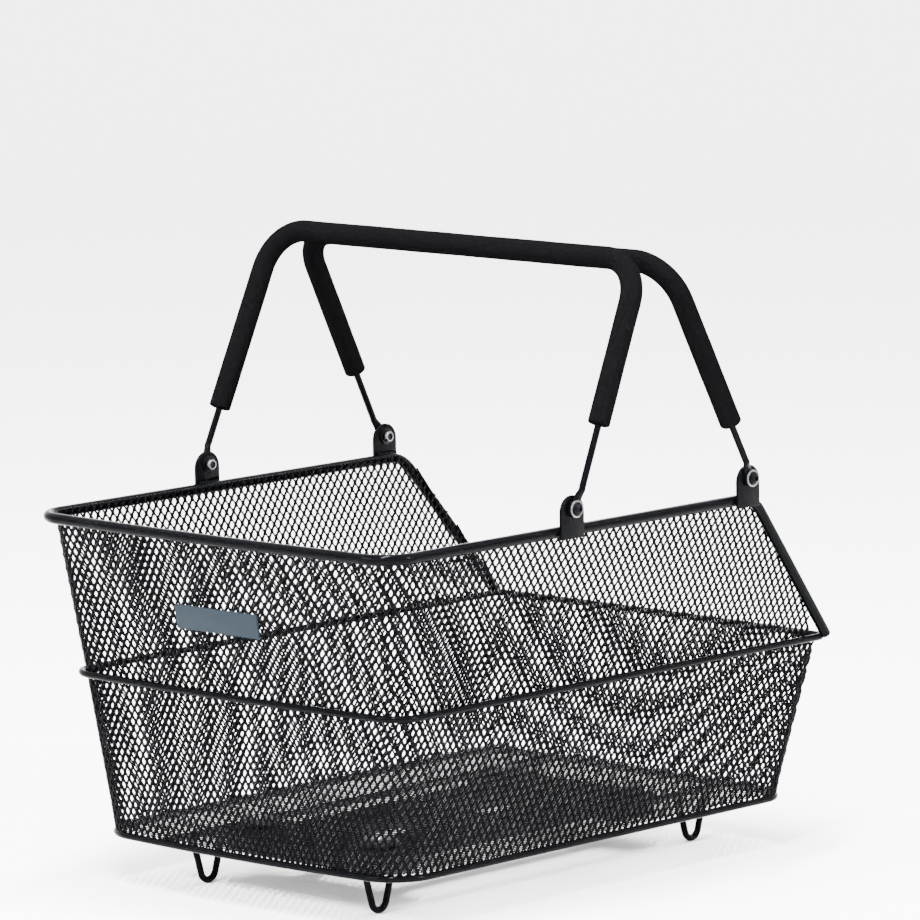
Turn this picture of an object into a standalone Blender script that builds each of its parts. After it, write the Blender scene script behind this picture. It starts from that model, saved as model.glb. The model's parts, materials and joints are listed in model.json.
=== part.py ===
"""Bicycle carrier basket: expanded-metal tub, tubular rim, two folding handles, adapter plate.

Metres, +Z up. X runs across the basket, -Y is the high end with the badge, +Y is the low end.
The origin is on the ground, under the middle of the basket.
"""
import math

import bmesh
import bpy
from mathutils import Vector

# ---- clearances ----
GAP = 0.0003                    # between pieces that touch
HOLE_CLEARANCE = 0.0003         # round a screw or in a washer, on the radius
PIVOT_CLEARANCE = 0.0001        # round a pivot bolt in its rod's eye, on the radius

# ---- tub, outside of the mesh ----
FOOT_HEIGHT = 0.0350            # ground to the underside of the base hoop
TUB_HEIGHT = 0.2345             # underside of the base hoop to the rim tube's centre
LOW_END_HEIGHT = 0.1195         # underside of the base hoop to the middle hoop's centre
BASE_HALF_WIDTH = 0.1498
HOOP_HALF_WIDTH = 0.1601        # at the middle hoop
TOP_HALF_WIDTH = 0.1707
BASE_HIGH_END = 0.2066          # from the origin to the high end, at the floor
HOOP_HIGH_END = 0.2149
TOP_HIGH_END = 0.2335
BASE_LOW_END = 0.2150           # from the origin to the low end, at the floor
HOOP_LOW_END = 0.2378
BASE_HIGH_CORNER = 0.0333       # corner radii: the high end's and the low end's
HOOP_HIGH_CORNER = 0.0190
TOP_HIGH_CORNER = 0.0207
BASE_LOW_CORNER = 0.0242
HOOP_LOW_CORNER = 0.0045
HIGH_END_BOW = 0.0045           # how far each end bulges past a straight line
LOW_END_BOW = 0.0030
MESH_THICKNESS = 0.0016

# ---- wires and tube ----
RIM_RADIUS = 0.0040
HOOP_RADIUS = 0.0026
BASE_RADIUS = 0.0025
RUNNER_RADIUS = 0.0025
FOOT_RADIUS = 0.0025
RIM_PEAK = 0.1466               # where the rim's straight sides end, along Y
RIM_PEAK_BEND = 0.014

# ---- feet and runners ----
RUNNER_SPACING = 0.170
FOOT_HIGH_END = 0.158           # from the origin to the feet at the high end
FOOT_LOW_END = 0.179
FOOT_TOP_WIDTH = 0.030
FOOT_BEND = 0.0075

# ---- handles ----
PIVOT_RISE = 0.0165             # from the rim tube's centre up to the pivot axes
PIVOT_HIGH_END = 0.0564         # from the origin to the pivots nearer the high end
PIVOT_LOW_END = 0.1341
HANDLE_REACH = 0.1845           # from the pivot axis to the middle of the handle's bar
HANDLE_BEND = 0.032
HANDLE_LEAN = 0.0052            # how far each leg leans in between pivot and bar
ROD_RADIUS = 0.0025
EYE_RADIUS = 0.0062
EYE_THICKNESS = 0.0026
EYE_FLAT = 0.016                # length of rod that is pressed flat beside the eye
EYE_FIRST_ANGLE = 0.12          # the eye's round end starts this far past its lowest point
EYE_SWEEP = math.pi * 0.80
EYE_NECK_RISE = 0.0020          # from the eye's round part to the neck
EYE_NECK_HALF_WIDTH = 0.0036
EYE_TAPER_LENGTH = 0.0030       # the last of the pressed part, where the rod turns round again
EYE_TAPER_HALF_WIDTH = 0.0029
LEG_CLEARANCE = 0.0008          # more room between the rod's round part and the bracket
HIGH_HANDLE_TILT = math.radians(24.3)
GRIP_RADIUS = 0.0080
GRIP_GAP = 0.0131                 # between the two foam bars at rest
LOW_HANDLE_TILT = math.asin((PIVOT_HIGH_END + PIVOT_LOW_END - 2 * GRIP_RADIUS - GRIP_GAP)
                            / HANDLE_REACH - math.sin(HIGH_HANDLE_TILT))
GRIP_START = 0.0530             # from the pivot axis to the grip's end, on average
HIGH_GRIP_SHIFT = 0.0095        # the grips have slid round their rods by this much
LOW_GRIP_SHIFT = -0.0055

# ---- brackets and their bolts ----
BRACKET_WIDTH = 0.024
BRACKET_THICKNESS = 0.0025
BRACKET_DROP = 0.0050           # how far the bracket reaches below the rim tube's centre
BRACKET_CROWN = 0.0095          # from the pivot axis to the bracket's top
BOLT_RADIUS = 0.0025
BOLT_HEAD_RADIUS = 0.0052
BOLT_HEAD_HEIGHT = 0.0030
WASHER_RADIUS = 0.0062
WASHER_THICKNESS = 0.0010
NUT_RADIUS = 0.0039
NUT_HEIGHT = 0.0034
BOLT_END_INSET = 0.0007         # the bolt's end stops this far inside its nut
PIVOT_CUTTER = 0.008            # half the length of the cutters for brackets and eyes

# ---- badge ----
BADGE_WIDTH = 0.0810
BADGE_HEIGHT = 0.0178
BADGE_THICKNESS = 0.0018
BADGE_EDGE = 0.0005
BADGE_DROP = 0.0600             # from the rim tube's centre down to the badge's middle
BACKING_WIDTH = 0.060
BACKING_HEIGHT = 0.010

# ---- adapter plate ----
PLATE_THICKNESS = 0.0160
PLATE_LENGTH = 0.3000
PLATE_RAIL_WIDTH = 0.1040       # across both rails
PLATE_END_WIDTH = 0.1560        # across the wide ends
PLATE_END_LENGTH = 0.0440
PLATE_CORNER = 0.007
PLATE_RAIL = 0.0180             # width of each rail
PLATE_CROSSBAR = 0.0240         # between the windows
PLATE_WINDOW_END = 0.0500       # from a window to the plate's end
WINDOW_CORNER = 0.004
DISC_RADIUS = 0.0150
DISC_HEIGHT = 0.0050
DISC_EDGE = 0.0012
DISC_TOP_SHARE = 0.80           # the disc's top, as a share of its radius
SCREW_INSET_X = 0.0180          # from the wide ends' sides to the screws
SCREW_INSET_Y = 0.0190          # from the plate's ends to the screws
SCREW_RADIUS = 0.0025
SCREW_HEAD_RADIUS = 0.0052
SCREW_HEAD_HEIGHT = 0.0026
SCREW_SINK = 0.6                # share of a screw's head that sits below the disc's top
SCREW_DEPTH = 0.0120            # how far a screw goes into the plate
LATCH_WIDTH = 0.0260
LATCH_HEIGHT = 0.0070
LATCH_LENGTH = 0.0340
LATCH_TRAVEL = 0.0050
LATCH_EDGE = 0.0006
POCKET_MOUTH = 0.010            # how far the pocket's cutter stands out of the plate's end
CUT_MARGIN = 0.001              # how far other cutters reach past the face they cut

# ---- places worked out from the sizes above ----
BASE_Z = FOOT_HEIGHT + BASE_RADIUS
MESH_Z = BASE_Z + BASE_RADIUS + GAP
HOOP_Z = FOOT_HEIGHT + LOW_END_HEIGHT
RIM_Z = FOOT_HEIGHT + TUB_HEIGHT
FLOOR_TOP = MESH_Z + MESH_THICKNESS
RIM_HALF_WIDTH = TOP_HALF_WIDTH + GAP + RIM_RADIUS
BRACKET_INNER = RIM_HALF_WIDTH + RIM_RADIUS + GAP
BRACKET_OUTER = BRACKET_INNER + BRACKET_THICKNESS
EYE_MIDDLE = BRACKET_OUTER + GAP + EYE_THICKNESS / 2
EYE_OUTER = EYE_MIDDLE + EYE_THICKNESS / 2
LEG_X = BRACKET_OUTER + GAP + ROD_RADIUS + LEG_CLEARANCE
PIVOT_HEIGHT = RIM_Z + PIVOT_RISE
BADGE_RISE = RIM_Z - BADGE_DROP
RUNNER_X = RUNNER_SPACING / 2
PLATE_TOP = MESH_Z - GAP
PLATE_BOTTOM = PLATE_TOP - PLATE_THICKNESS
WINDOW_WIDTH = PLATE_RAIL_WIDTH - 2 * PLATE_RAIL
WINDOW_LENGTH = (PLATE_LENGTH - 2 * PLATE_WINDOW_END - PLATE_CROSSBAR) / 2
WINDOW_MIDDLE = (PLATE_CROSSBAR + WINDOW_LENGTH) / 2
SCREW_X = PLATE_END_WIDTH / 2 - SCREW_INSET_X
SCREW_Y = PLATE_LENGTH / 2 - SCREW_INSET_Y

PATH_STEPS = 6                  # segments in each rounded corner
WIRE_RESOLUTION = 2             # bevel resolution: eight sides
RIM_RESOLUTION = 3              # ten sides


# ---------------------------------------------------------------- helpers

def clear_scene():
    for thing in list(bpy.data.objects):
        bpy.data.objects.remove(thing, do_unlink=True)


def material(name, color, roughness, metallic=0.0):
    found = bpy.data.materials.get(name)
    if found:
        return found
    made = bpy.data.materials.new(name)
    made.use_nodes = True
    shader = made.node_tree.nodes["Principled BSDF"]
    shader.inputs["Base Color"].default_value = (*color, 1.0)
    shader.inputs["Roughness"].default_value = roughness
    shader.inputs["Metallic"].default_value = metallic
    made.diffuse_color = (*color, 1.0)
    return made


def gloss_black():
    return material("gloss_black_coat", (0.018, 0.019, 0.022), 0.22)


def satin_black():
    return material("satin_black_coat", (0.022, 0.023, 0.025), 0.42)


def foam():
    return material("black_foam", (0.020, 0.020, 0.020), 0.92)


def steel():
    return material("bright_steel", (0.62, 0.62, 0.64), 0.28, 1.0)


def dark_steel():
    return material("dark_steel", (0.05, 0.05, 0.055), 0.35, 0.8)


def badge_grey():
    return material("badge_grey", (0.075, 0.095, 0.115), 0.35)


def plastic():
    return material("black_plastic", (0.020, 0.021, 0.023), 0.50)


def new_object(name, data, finish):
    data.materials.append(finish)
    made = bpy.data.objects.new(name, data)
    bpy.context.scene.collection.objects.link(made)
    return made


def mesh_object(name, bm, finish, smooth_angle=35.0):
    """Make an object of a bmesh, with its faces pointing out."""
    bmesh.ops.recalc_face_normals(bm, faces=bm.faces)
    data = bpy.data.meshes.new(name)
    bm.to_mesh(data)
    bm.free()
    data.shade_smooth()
    data.set_sharp_from_angle(angle=math.radians(smooth_angle))
    return new_object(name, data, finish)


def wire_object(name, points, radius, finish, closed=False, resolution=WIRE_RESOLUTION):
    """A round wire along a list of points, with filled ends."""
    curve = bpy.data.curves.new(name, "CURVE")
    curve.dimensions = "3D"
    curve.bevel_depth = radius
    curve.bevel_resolution = resolution
    curve.use_fill_caps = not closed
    line = curve.splines.new("POLY")
    line.points.add(len(points) - 1)
    for slot, point in zip(line.points, points):
        slot.co = (*point, 1.0)
    line.use_cyclic_u = closed
    line.use_smooth = True
    return new_object(name, curve, finish)


def cut(target, cutter):
    """Take the cutter's shape out of the target; the cutter stays as a hidden guide."""
    cutter.hide_render = True
    cutter.display_type = "WIRE"
    change = target.modifiers.new("cut_" + cutter.name, "BOOLEAN")
    change.operation = "DIFFERENCE"
    change.solver = "EXACT"
    change.object = cutter


def box(name, size, centre, finish):
    bm = bmesh.new()
    bmesh.ops.create_cube(bm, size=1.0)
    bmesh.ops.scale(bm, vec=size, verts=bm.verts)
    bmesh.ops.translate(bm, vec=centre, verts=bm.verts)
    return mesh_object(name, bm, finish)


def turned(name, profile, finish, segments=16):
    """A solid turned about Z from a profile of (radius, height) points, lowest first."""
    bm = bmesh.new()
    rings = []
    for radius, height in profile:
        if radius == 0.0:
            rings.append([bm.verts.new((0.0, 0.0, height))])
            continue
        turn = [2 * math.pi * k / segments for k in range(segments)]
        rings.append([bm.verts.new((radius * math.cos(a), radius * math.sin(a), height)) for a in turn])
    for low, high in zip(rings, rings[1:]):
        for k in range(segments):
            n = (k + 1) % segments
            corners = [low[k % len(low)], low[n % len(low)], high[n % len(high)], high[k % len(high)]]
            unique = list(dict.fromkeys(corners))
            if len(unique) > 2:
                bm.faces.new(unique)
    if len(rings[0]) > 1 and profile[0] != profile[-1]:
        bm.faces.new(list(reversed(rings[0])))
    if len(rings[-1]) > 1 and profile[0] != profile[-1]:
        bm.faces.new(rings[-1])
    bmesh.ops.remove_doubles(bm, verts=bm.verts, dist=0.000001)
    return mesh_object(name, bm, finish)


def along_x(thing, x, y, z, side):
    """Turn a piece that was made about Z so that its top points outwards along X."""
    thing.rotation_euler = (0.0, side * math.pi / 2, 0.0)
    thing.location = (x, y, z)


def extruded(name, outline, low, high, finish):
    """A flat outline in X and Y, extruded from one height to another."""
    bm = bmesh.new()
    bottom = [bm.verts.new((x, y, low)) for x, y in outline]
    top = [bm.verts.new((x, y, high)) for x, y in outline]
    bm.faces.new(list(reversed(bottom)))
    bm.faces.new(top)
    count = len(outline)
    for k in range(count):
        n = (k + 1) % count
        bm.faces.new((bottom[k], bottom[n], top[n], top[k]))
    return mesh_object(name, bm, finish)


def rounded_corners(corners, radius, steps=4):
    """Round every corner of a closed outline of (x, y) points."""
    points = []
    count = len(corners)
    for k in range(count):
        here = Vector(corners[k])
        before = (Vector(corners[k - 1]) - here).normalized()
        after = (Vector(corners[(k + 1) % count]) - here).normalized()
        half = before.angle(after) / 2
        reach = radius / math.tan(half)
        centre = here + (before + after).normalized() * (radius / math.sin(half))
        start = here + before * reach - centre
        end = here + after * reach - centre
        for step in range(steps + 1):
            arm = start.slerp(end, step / steps).normalized()
            points.append(tuple(centre + arm * start.length))
    return points


# ---------------------------------------------------------------- the tub's shape

def between(z, base, hoop, rim):
    """A size at height z: straight from the floor to the middle hoop, and from there to the rim."""
    if z <= HOOP_Z:
        return base + (hoop - base) * (z - MESH_Z) / (HOOP_Z - MESH_Z)
    return hoop + (rim - hoop) * (z - HOOP_Z) / (RIM_Z - HOOP_Z)


def half_width(z):
    return between(z, BASE_HALF_WIDTH, HOOP_HALF_WIDTH, TOP_HALF_WIDTH)


def high_end(z):
    return -between(z, BASE_HIGH_END, HOOP_HIGH_END, TOP_HIGH_END)


def high_corner(z):
    return between(z, BASE_HIGH_CORNER, HOOP_HIGH_CORNER, TOP_HIGH_CORNER)


def low_end(z):
    return between(z, BASE_LOW_END, HOOP_LOW_END, HOOP_LOW_END)


def low_corner(z):
    return between(z, BASE_LOW_CORNER, HOOP_LOW_CORNER, HOOP_LOW_CORNER)


def arc(centre_x, centre_y, radius, start, end, steps=PATH_STEPS):
    turn = [start + (end - start) * k / steps for k in range(steps + 1)]
    return [(centre_x + radius * math.cos(a), centre_y + radius * math.sin(a)) for a in turn]


def high_end_path(z, offset=0.0):
    """From the +X side round the high end to the -X side, with a slight bulge between the corners."""
    width = half_width(z) + offset
    end = high_end(z) - offset
    radius = high_corner(z) + offset
    inner = width - radius
    right = arc(inner, end + radius, radius, 0.0, -math.pi / 2)
    left = arc(-inner, end + radius, radius, -math.pi / 2, -math.pi)
    middle = []
    for k in range(1, 8):
        x = inner * (1 - k / 4)
        middle.append((x, end - HIGH_END_BOW * (1 - (x / inner) ** 2)))
    return right + middle + left


def low_end_path(z, offset=0.0):
    """From the -X side round the low end to the +X side."""
    width = half_width(z) + offset
    end = low_end(z) + offset
    radius = low_corner(z) + offset
    inner = width - radius
    left = arc(-inner, end - radius, radius, math.pi, math.pi / 2)
    right = arc(inner, end - radius, radius, math.pi / 2, 0.0)
    middle = []
    for k in range(1, 6):
        x = inner * (k / 3 - 1)
        middle.append((x, end + LOW_END_BOW * (1 - (x / inner) ** 2)))
    return left + middle + right


def at_height(path, z):
    return [(x, y, z) for x, y in path]


def drop_point(t):
    """Centre of the rim tube's sloping end, from its peak (0) to the middle hoop (1); x is for +X."""
    clear_of_hoop = HOOP_Z + HOOP_RADIUS + RIM_RADIUS + GAP
    foot_y = HOOP_LOW_END - RIM_RADIUS / 2
    z = RIM_Z + (clear_of_hoop - RIM_Z) * t
    y = RIM_PEAK + (foot_y - RIM_PEAK) * t
    x = half_width(z) + GAP + RIM_RADIUS
    return Vector((x, y, z))


# ---------------------------------------------------------------- tub pieces

def rim_path():
    """Centre line of the rim tube, from one low corner round the high end to the other."""
    offset = GAP + RIM_RADIUS
    peak = drop_point(0.0)
    back = Vector((peak.x, peak.y - RIM_PEAK_BEND, peak.z))
    down = drop_point(RIM_PEAK_BEND / (drop_point(1.0) - peak).length)
    side = [drop_point(1.0), drop_point(0.55)]
    for k in range(7):
        t = k / 6
        side.append(down * (1 - t) ** 2 + peak * 2 * t * (1 - t) + back * t ** 2)
    other = [Vector((-p.x, p.y, p.z)) for p in reversed(side)]
    middle = [Vector(p) for p in at_height(high_end_path(RIM_Z, offset), RIM_Z)]
    return side + middle + other


def build_rim_and_hoops():
    wire_object("rim_tube", rim_path(), RIM_RADIUS, gloss_black(), resolution=RIM_RESOLUTION)
    offset = GAP + HOOP_RADIUS
    hoop = high_end_path(HOOP_Z, offset) + low_end_path(HOOP_Z, offset)
    wire_object("mid_hoop", at_height(hoop, HOOP_Z), HOOP_RADIUS, gloss_black(), closed=True)
    under_mesh = -MESH_THICKNESS / 2
    base = high_end_path(MESH_Z, under_mesh) + low_end_path(MESH_Z, under_mesh)
    wire_object("base_hoop", at_height(base, BASE_Z), BASE_RADIUS, gloss_black(), closed=True)


def sheet_solid(name, outer_rows, inner_rows, finish):
    """A thin solid between two grids of points; each row runs the same way in both."""
    bm = bmesh.new()
    outer = [[bm.verts.new(p) for p in row] for row in outer_rows]
    inner = [[bm.verts.new(p) for p in row] for row in inner_rows]
    rows = len(outer)
    columns = len(outer[0])
    for r in range(rows - 1):
        for c in range(columns - 1):
            bm.faces.new((outer[r][c], outer[r][c + 1], outer[r + 1][c + 1], outer[r + 1][c]))
            bm.faces.new((inner[r][c], inner[r + 1][c], inner[r + 1][c + 1], inner[r][c + 1]))
    for r in range(rows - 1):
        for c in (0, columns - 1):
            bm.faces.new((outer[r][c], outer[r + 1][c], inner[r + 1][c], inner[r][c]))
    for c in range(columns - 1):
        for r in (0, rows - 1):
            bm.faces.new((outer[r][c], inner[r][c], inner[r][c + 1], outer[r][c + 1]))
    return mesh_object(name, bm, finish)


def side_rows(side, offset):
    """Rows of points up one long side, from the high corner to the low corner or the sloping tube."""
    slope_clear = RIM_RADIUS + GAP + MESH_THICKNESS
    peak = drop_point(0.0)
    foot = drop_point(1.0)
    slope = (foot.y - peak.y) / (foot.z - peak.z)
    level = slope_clear * math.sqrt(1 + slope * slope)
    heights = [MESH_Z, HOOP_Z, HOOP_Z + 2 * HOOP_RADIUS, RIM_Z]
    rows = []
    for z in heights:
        start = high_end(z) + high_corner(z) + GAP
        if z <= HOOP_Z:
            stop = low_end(z) - low_corner(z) - GAP
        else:
            stop = peak.y + (z - peak.z) * slope - level
        x = side * (half_width(z) + offset)
        rows.append([(x, start + (stop - start) * k / 4, z) for k in range(5)])
    return rows


def build_mesh_walls():
    finish = satin_black()
    for label, path in (("mesh_high_end", high_end_path), ("mesh_low_end", low_end_path)):
        top = RIM_Z if path is high_end_path else HOOP_Z
        heights = [MESH_Z, HOOP_Z] if top == HOOP_Z else [MESH_Z, HOOP_Z, RIM_Z]
        outer = [at_height(path(z), z) for z in heights]
        inner = [at_height(path(z, -MESH_THICKNESS), z) for z in heights]
        sheet_solid(label, outer, inner, finish)
    for side, label in ((-1, "left"), (1, "right")):
        outer = side_rows(side, 0.0)
        inner = side_rows(side, -MESH_THICKNESS)
        sheet_solid("mesh_side_" + label, outer, inner, finish)


def screw_places():
    places = []
    for y in (-SCREW_Y, SCREW_Y):
        for x in (-SCREW_X, SCREW_X):
            places.append((x, y))
    return places


def screw_cutter(name, x, y, low, high):
    radius = SCREW_RADIUS + HOLE_CLEARANCE
    made = turned(name, [(radius, low), (radius, high)], plastic(), segments=16)
    made.location = (x, y, 0.0)
    return made


def build_floor():
    edge = -MESH_THICKNESS - GAP
    outline = high_end_path(MESH_Z, edge) + low_end_path(MESH_Z, edge)
    floor = extruded("mesh_floor", outline, MESH_Z, FLOOR_TOP, satin_black())
    for number, (x, y) in enumerate(screw_places(), start=1):
        cut(floor, screw_cutter(f"floor_hole_{number}", x, y, MESH_Z - GAP, FLOOR_TOP + GAP))


def build_runners_and_feet():
    clear = BASE_RADIUS + GAP + MESH_THICKNESS / 2
    start = high_end(MESH_Z) + clear
    stop = low_end(MESH_Z) - clear
    for side, label in ((-1, "left"), (1, "right")):
        x = side * RUNNER_X
        ends = [(x, start, BASE_Z), (x, stop, BASE_Z)]
        wire_object("runner_wire_" + label, ends, RUNNER_RADIUS, gloss_black())
        for y, end in ((-FOOT_HIGH_END, "high"), (FOOT_LOW_END, "low")):
            wire_object(f"foot_{end}_{label}", foot_path(x, y), FOOT_RADIUS, gloss_black())


def foot_path(x, y):
    """A tapered U that hangs from the runner wire, in the runner's plane."""
    under_runner = BASE_Z - RUNNER_RADIUS - GAP
    bottom = FOOT_RADIUS
    half_top = FOOT_TOP_WIDTH / 2
    lean = math.atan((half_top - FOOT_BEND) / (under_runner - bottom - FOOT_BEND))
    top = under_runner - FOOT_RADIUS * math.sin(lean)
    right = []
    for k in range(7):
        angle = -math.pi / 2 + (math.pi / 2 - lean) * k / 6
        reach = FOOT_BEND * math.cos(angle)
        right.append((x, y + reach, bottom + FOOT_BEND + FOOT_BEND * math.sin(angle)))
    right.append((x, y + half_top, top))
    left = [(px, 2 * y - py, pz) for px, py, pz in reversed(right[1:])]
    return left + right


# ---------------------------------------------------------------- handles

def bracket_outline():
    """Seen along X: straight sides and a round top, as (y, z) from the pivot axis."""
    half = BRACKET_WIDTH / 2
    bottom = RIM_Z - BRACKET_DROP - PIVOT_HEIGHT
    turn = [math.pi * k / 12 for k in range(13)]
    crown = [(half * math.cos(a), BRACKET_CROWN - half + half * math.sin(a)) for a in turn]
    return [(-half, bottom), (half, bottom)] + crown


def pivot_places():
    """(label, side, y) of the four handle pivots."""
    places = []
    for end, y in (("high", -PIVOT_HIGH_END), ("low", PIVOT_LOW_END)):
        for side, label in ((-1, "left"), (1, "right")):
            places.append((f"{end}_{label}", side, y))
    return places


def build_brackets():
    for label, side, y in pivot_places():
        outline = [(side * across, up) for across, up in bracket_outline()]
        plate = extruded("bracket_" + label, outline, 0.0, BRACKET_THICKNESS, gloss_black())
        plate.location = (side * BRACKET_INNER, y, PIVOT_HEIGHT)
        plate.rotation_euler = (math.pi / 2, 0.0, side * math.pi / 2)
        radius = BOLT_RADIUS + HOLE_CLEARANCE
        profile = [(radius, -PIVOT_CUTTER), (radius, PIVOT_CUTTER)]
        hole = turned("bracket_hole_" + label, profile, steel(), segments=20)
        along_x(hole, side * BRACKET_INNER, y, PIVOT_HEIGHT, side)
        cut(plate, hole)


def leg_profile():
    """Half of the handle's centre line, in its own plane: (x, reach) from the pivot to the middle."""
    corner = Vector((LEG_X - HANDLE_LEAN, HANDLE_REACH))
    pivot = Vector((LEG_X, 0.0))
    foot = pivot.lerp(corner, EYE_FLAT / HANDLE_REACH)
    before = (foot - corner).normalized()
    after = Vector((-1.0, 0.0))
    half = before.angle(after) / 2
    reach = HANDLE_BEND / math.tan(half)
    centre = corner + (before + after).normalized() * (HANDLE_BEND / math.sin(half))
    start = corner + before * reach - centre
    end = corner + after * reach - centre
    bend = [centre + start.slerp(end, k / 6).normalized() * HANDLE_BEND for k in range(7)]
    return foot, bend


def handle_line():
    """The round part of a handle from one flat to the other, as (x, reach) points."""
    foot, bend = leg_profile()
    half = [foot, foot.lerp(bend[0], 0.3), foot.lerp(bend[0], 0.7)] + bend
    other = [Vector((-p.x, p.y)) for p in reversed(half)]
    return half + other


def empty_at(name, y, tilt):
    """The joint axis of one handle: a handle's pieces are made upright on it and lean with it."""
    axis = bpy.data.objects.new(name, None)
    bpy.context.scene.collection.objects.link(axis)
    axis.location = (0.0, y, PIVOT_HEIGHT)
    axis.rotation_euler = (tilt, 0.0, 0.0)
    return axis


def rod_sections():
    """Sections of a handle rod from eye to eye: centre, direction, half thickness, half width."""
    flat = EYE_THICKNESS / 2
    half_way = (EYE_MIDDLE + LEG_X) / 2
    eye = []
    for k in range(7):
        angle = -math.pi / 2 + EYE_FIRST_ANGLE + EYE_SWEEP * k / 6
        eye.append((EYE_MIDDLE, EYE_RADIUS * math.sin(angle), flat, EYE_RADIUS * math.cos(angle)))
    eye.append((EYE_MIDDLE, EYE_RADIUS + EYE_NECK_RISE, flat, EYE_NECK_HALF_WIDTH))
    eye.append((half_way, EYE_FLAT - EYE_TAPER_LENGTH, (flat + ROD_RADIUS) / 2, EYE_TAPER_HALF_WIDTH))
    up = Vector((0.0, 1.0))
    sections = [(Vector((x, reach)), up, thick, wide) for x, reach, thick, wide in eye]
    line = handle_line()
    for k, point in enumerate(line):
        ahead = line[min(k + 1, len(line) - 1)] - line[max(k - 1, 0)]
        sections.append((point, ahead.normalized(), ROD_RADIUS, ROD_RADIUS))
    for x, reach, thick, wide in reversed(eye):
        sections.append((Vector((-x, reach)), -up, thick, wide))
    return sections


def section_ring(bm, section, sides=12):
    """The points of one oval section of a handle piece, in the handle's own upright plane."""
    centre, ahead, thick, wide = section
    beside = Vector((ahead.y, -ahead.x))
    ring = []
    for s in range(sides):
        angle = 2 * math.pi * s / sides
        spot = centre + beside * (thick * math.cos(angle))
        ring.append(bm.verts.new((spot.x, wide * math.sin(angle), spot.y)))
    return ring


def bridge(bm, low, high):
    count = len(low)
    for s in range(count):
        n = (s + 1) % count
        bm.faces.new((low[s], low[n], high[n], high[s]))


def build_rod(name, axis):
    """One handle rod: round, with each end pressed flat into a drilled eye."""
    bm = bmesh.new()
    rings = [section_ring(bm, section) for section in rod_sections()]
    for low, high in zip(rings, rings[1:]):
        bridge(bm, low, high)
    bm.faces.new(list(reversed(rings[0])))
    bm.faces.new(rings[-1])
    rod = mesh_object(name, bm, gloss_black())
    rod.parent = axis
    for side, label in ((-1, "left"), (1, "right")):
        radius = BOLT_RADIUS + PIVOT_CLEARANCE
        profile = [(radius, -PIVOT_CUTTER), (radius, PIVOT_CUTTER)]
        hole = turned(f"{name}_eye_{label}", profile, steel(), segments=20)
        along_x(hole, side * EYE_MIDDLE, 0.0, 0.0, side)
        hole.parent = axis
        cut(rod, hole)


def grip_line(shift):
    """The part of the handle's line that the grip covers, from its two ends' reach."""
    first = GRIP_START + shift
    last = GRIP_START - shift
    foot, bend = leg_profile()
    near = foot.lerp(bend[0], (first - foot.y) / (bend[0].y - foot.y))
    far = foot.lerp(bend[0], (last - foot.y) / (bend[0].y - foot.y))
    far.x = -far.x
    middle = [p for p in handle_line() if p.y > max(first, last) + GRIP_RADIUS]
    return [near] + middle + [far]


def build_grip(name, axis, shift):
    """A foam tube round the rod."""
    line = grip_line(shift)
    bm = bmesh.new()
    outer = []
    inner = []
    for k, point in enumerate(line):
        ahead = (line[min(k + 1, len(line) - 1)] - line[max(k - 1, 0)]).normalized()
        outer.append(section_ring(bm, (point, ahead, GRIP_RADIUS, GRIP_RADIUS)))
        bore = ROD_RADIUS + GAP
        inner.append(section_ring(bm, (point, ahead, bore, bore)))
    for rings in (outer, inner):
        for low, high in zip(rings, rings[1:]):
            bridge(bm, low, high)
    bridge(bm, outer[0], inner[0])
    bridge(bm, outer[-1], inner[-1])
    grip = mesh_object(name, bm, foam())
    grip.parent = axis


def build_handles():
    high = empty_at("high_handle_axis", -PIVOT_HIGH_END, -HIGH_HANDLE_TILT)
    build_rod("handle_rod_high", high)
    build_grip("grip_high", high, HIGH_GRIP_SHIFT)
    low = empty_at("low_handle_axis", PIVOT_LOW_END, LOW_HANDLE_TILT)
    build_rod("handle_rod_low", low)
    build_grip("grip_low", low, LOW_GRIP_SHIFT)


def ring_solid(name, hole, outer, low, high, finish):
    """A washer or a ring about Z."""
    profile = [(hole, low), (outer, low), (outer, high), (hole, high), (hole, low)]
    return turned(name, profile, finish)


def build_pivot_hardware():
    """Bolt from outside, washers on both faces and a sleeve nut inside, at each pivot."""
    hole = BOLT_RADIUS + HOLE_CLEARANCE
    outer_washer = EYE_OUTER + GAP
    head = outer_washer + WASHER_THICKNESS + GAP
    inner_washer = BRACKET_INNER - GAP - WASHER_THICKNESS
    nut = inner_washer - GAP - NUT_HEIGHT
    for label, side, y in pivot_places():
        dome = [(BOLT_HEAD_RADIUS * math.cos(a), BOLT_HEAD_HEIGHT * math.sin(a))
                for a in (math.pi / 2 * k / 4 for k in range(1, 4))]
        shank = head - nut - BOLT_END_INSET
        profile = [(BOLT_RADIUS, -shank), (BOLT_RADIUS, 0.0), (BOLT_HEAD_RADIUS, 0.0),
                   *dome, (0.0, BOLT_HEAD_HEIGHT)]
        bolt = turned("pivot_bolt_" + label, profile, dark_steel())
        along_x(bolt, side * head, y, PIVOT_HEIGHT, side)
        washer = ring_solid("outer_washer_" + label, hole, WASHER_RADIUS, 0.0, WASHER_THICKNESS, steel())
        along_x(washer, side * outer_washer, y, PIVOT_HEIGHT, side)
        inner = ring_solid("inner_washer_" + label, hole, WASHER_RADIUS, 0.0, WASHER_THICKNESS,
                           dark_steel())
        along_x(inner, side * inner_washer, y, PIVOT_HEIGHT, side)
        sleeve = ring_solid("pivot_nut_" + label, hole, NUT_RADIUS, 0.0, NUT_HEIGHT, steel())
        along_x(sleeve, side * nut, y, PIVOT_HEIGHT, side)


# ---------------------------------------------------------------- badge

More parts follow.
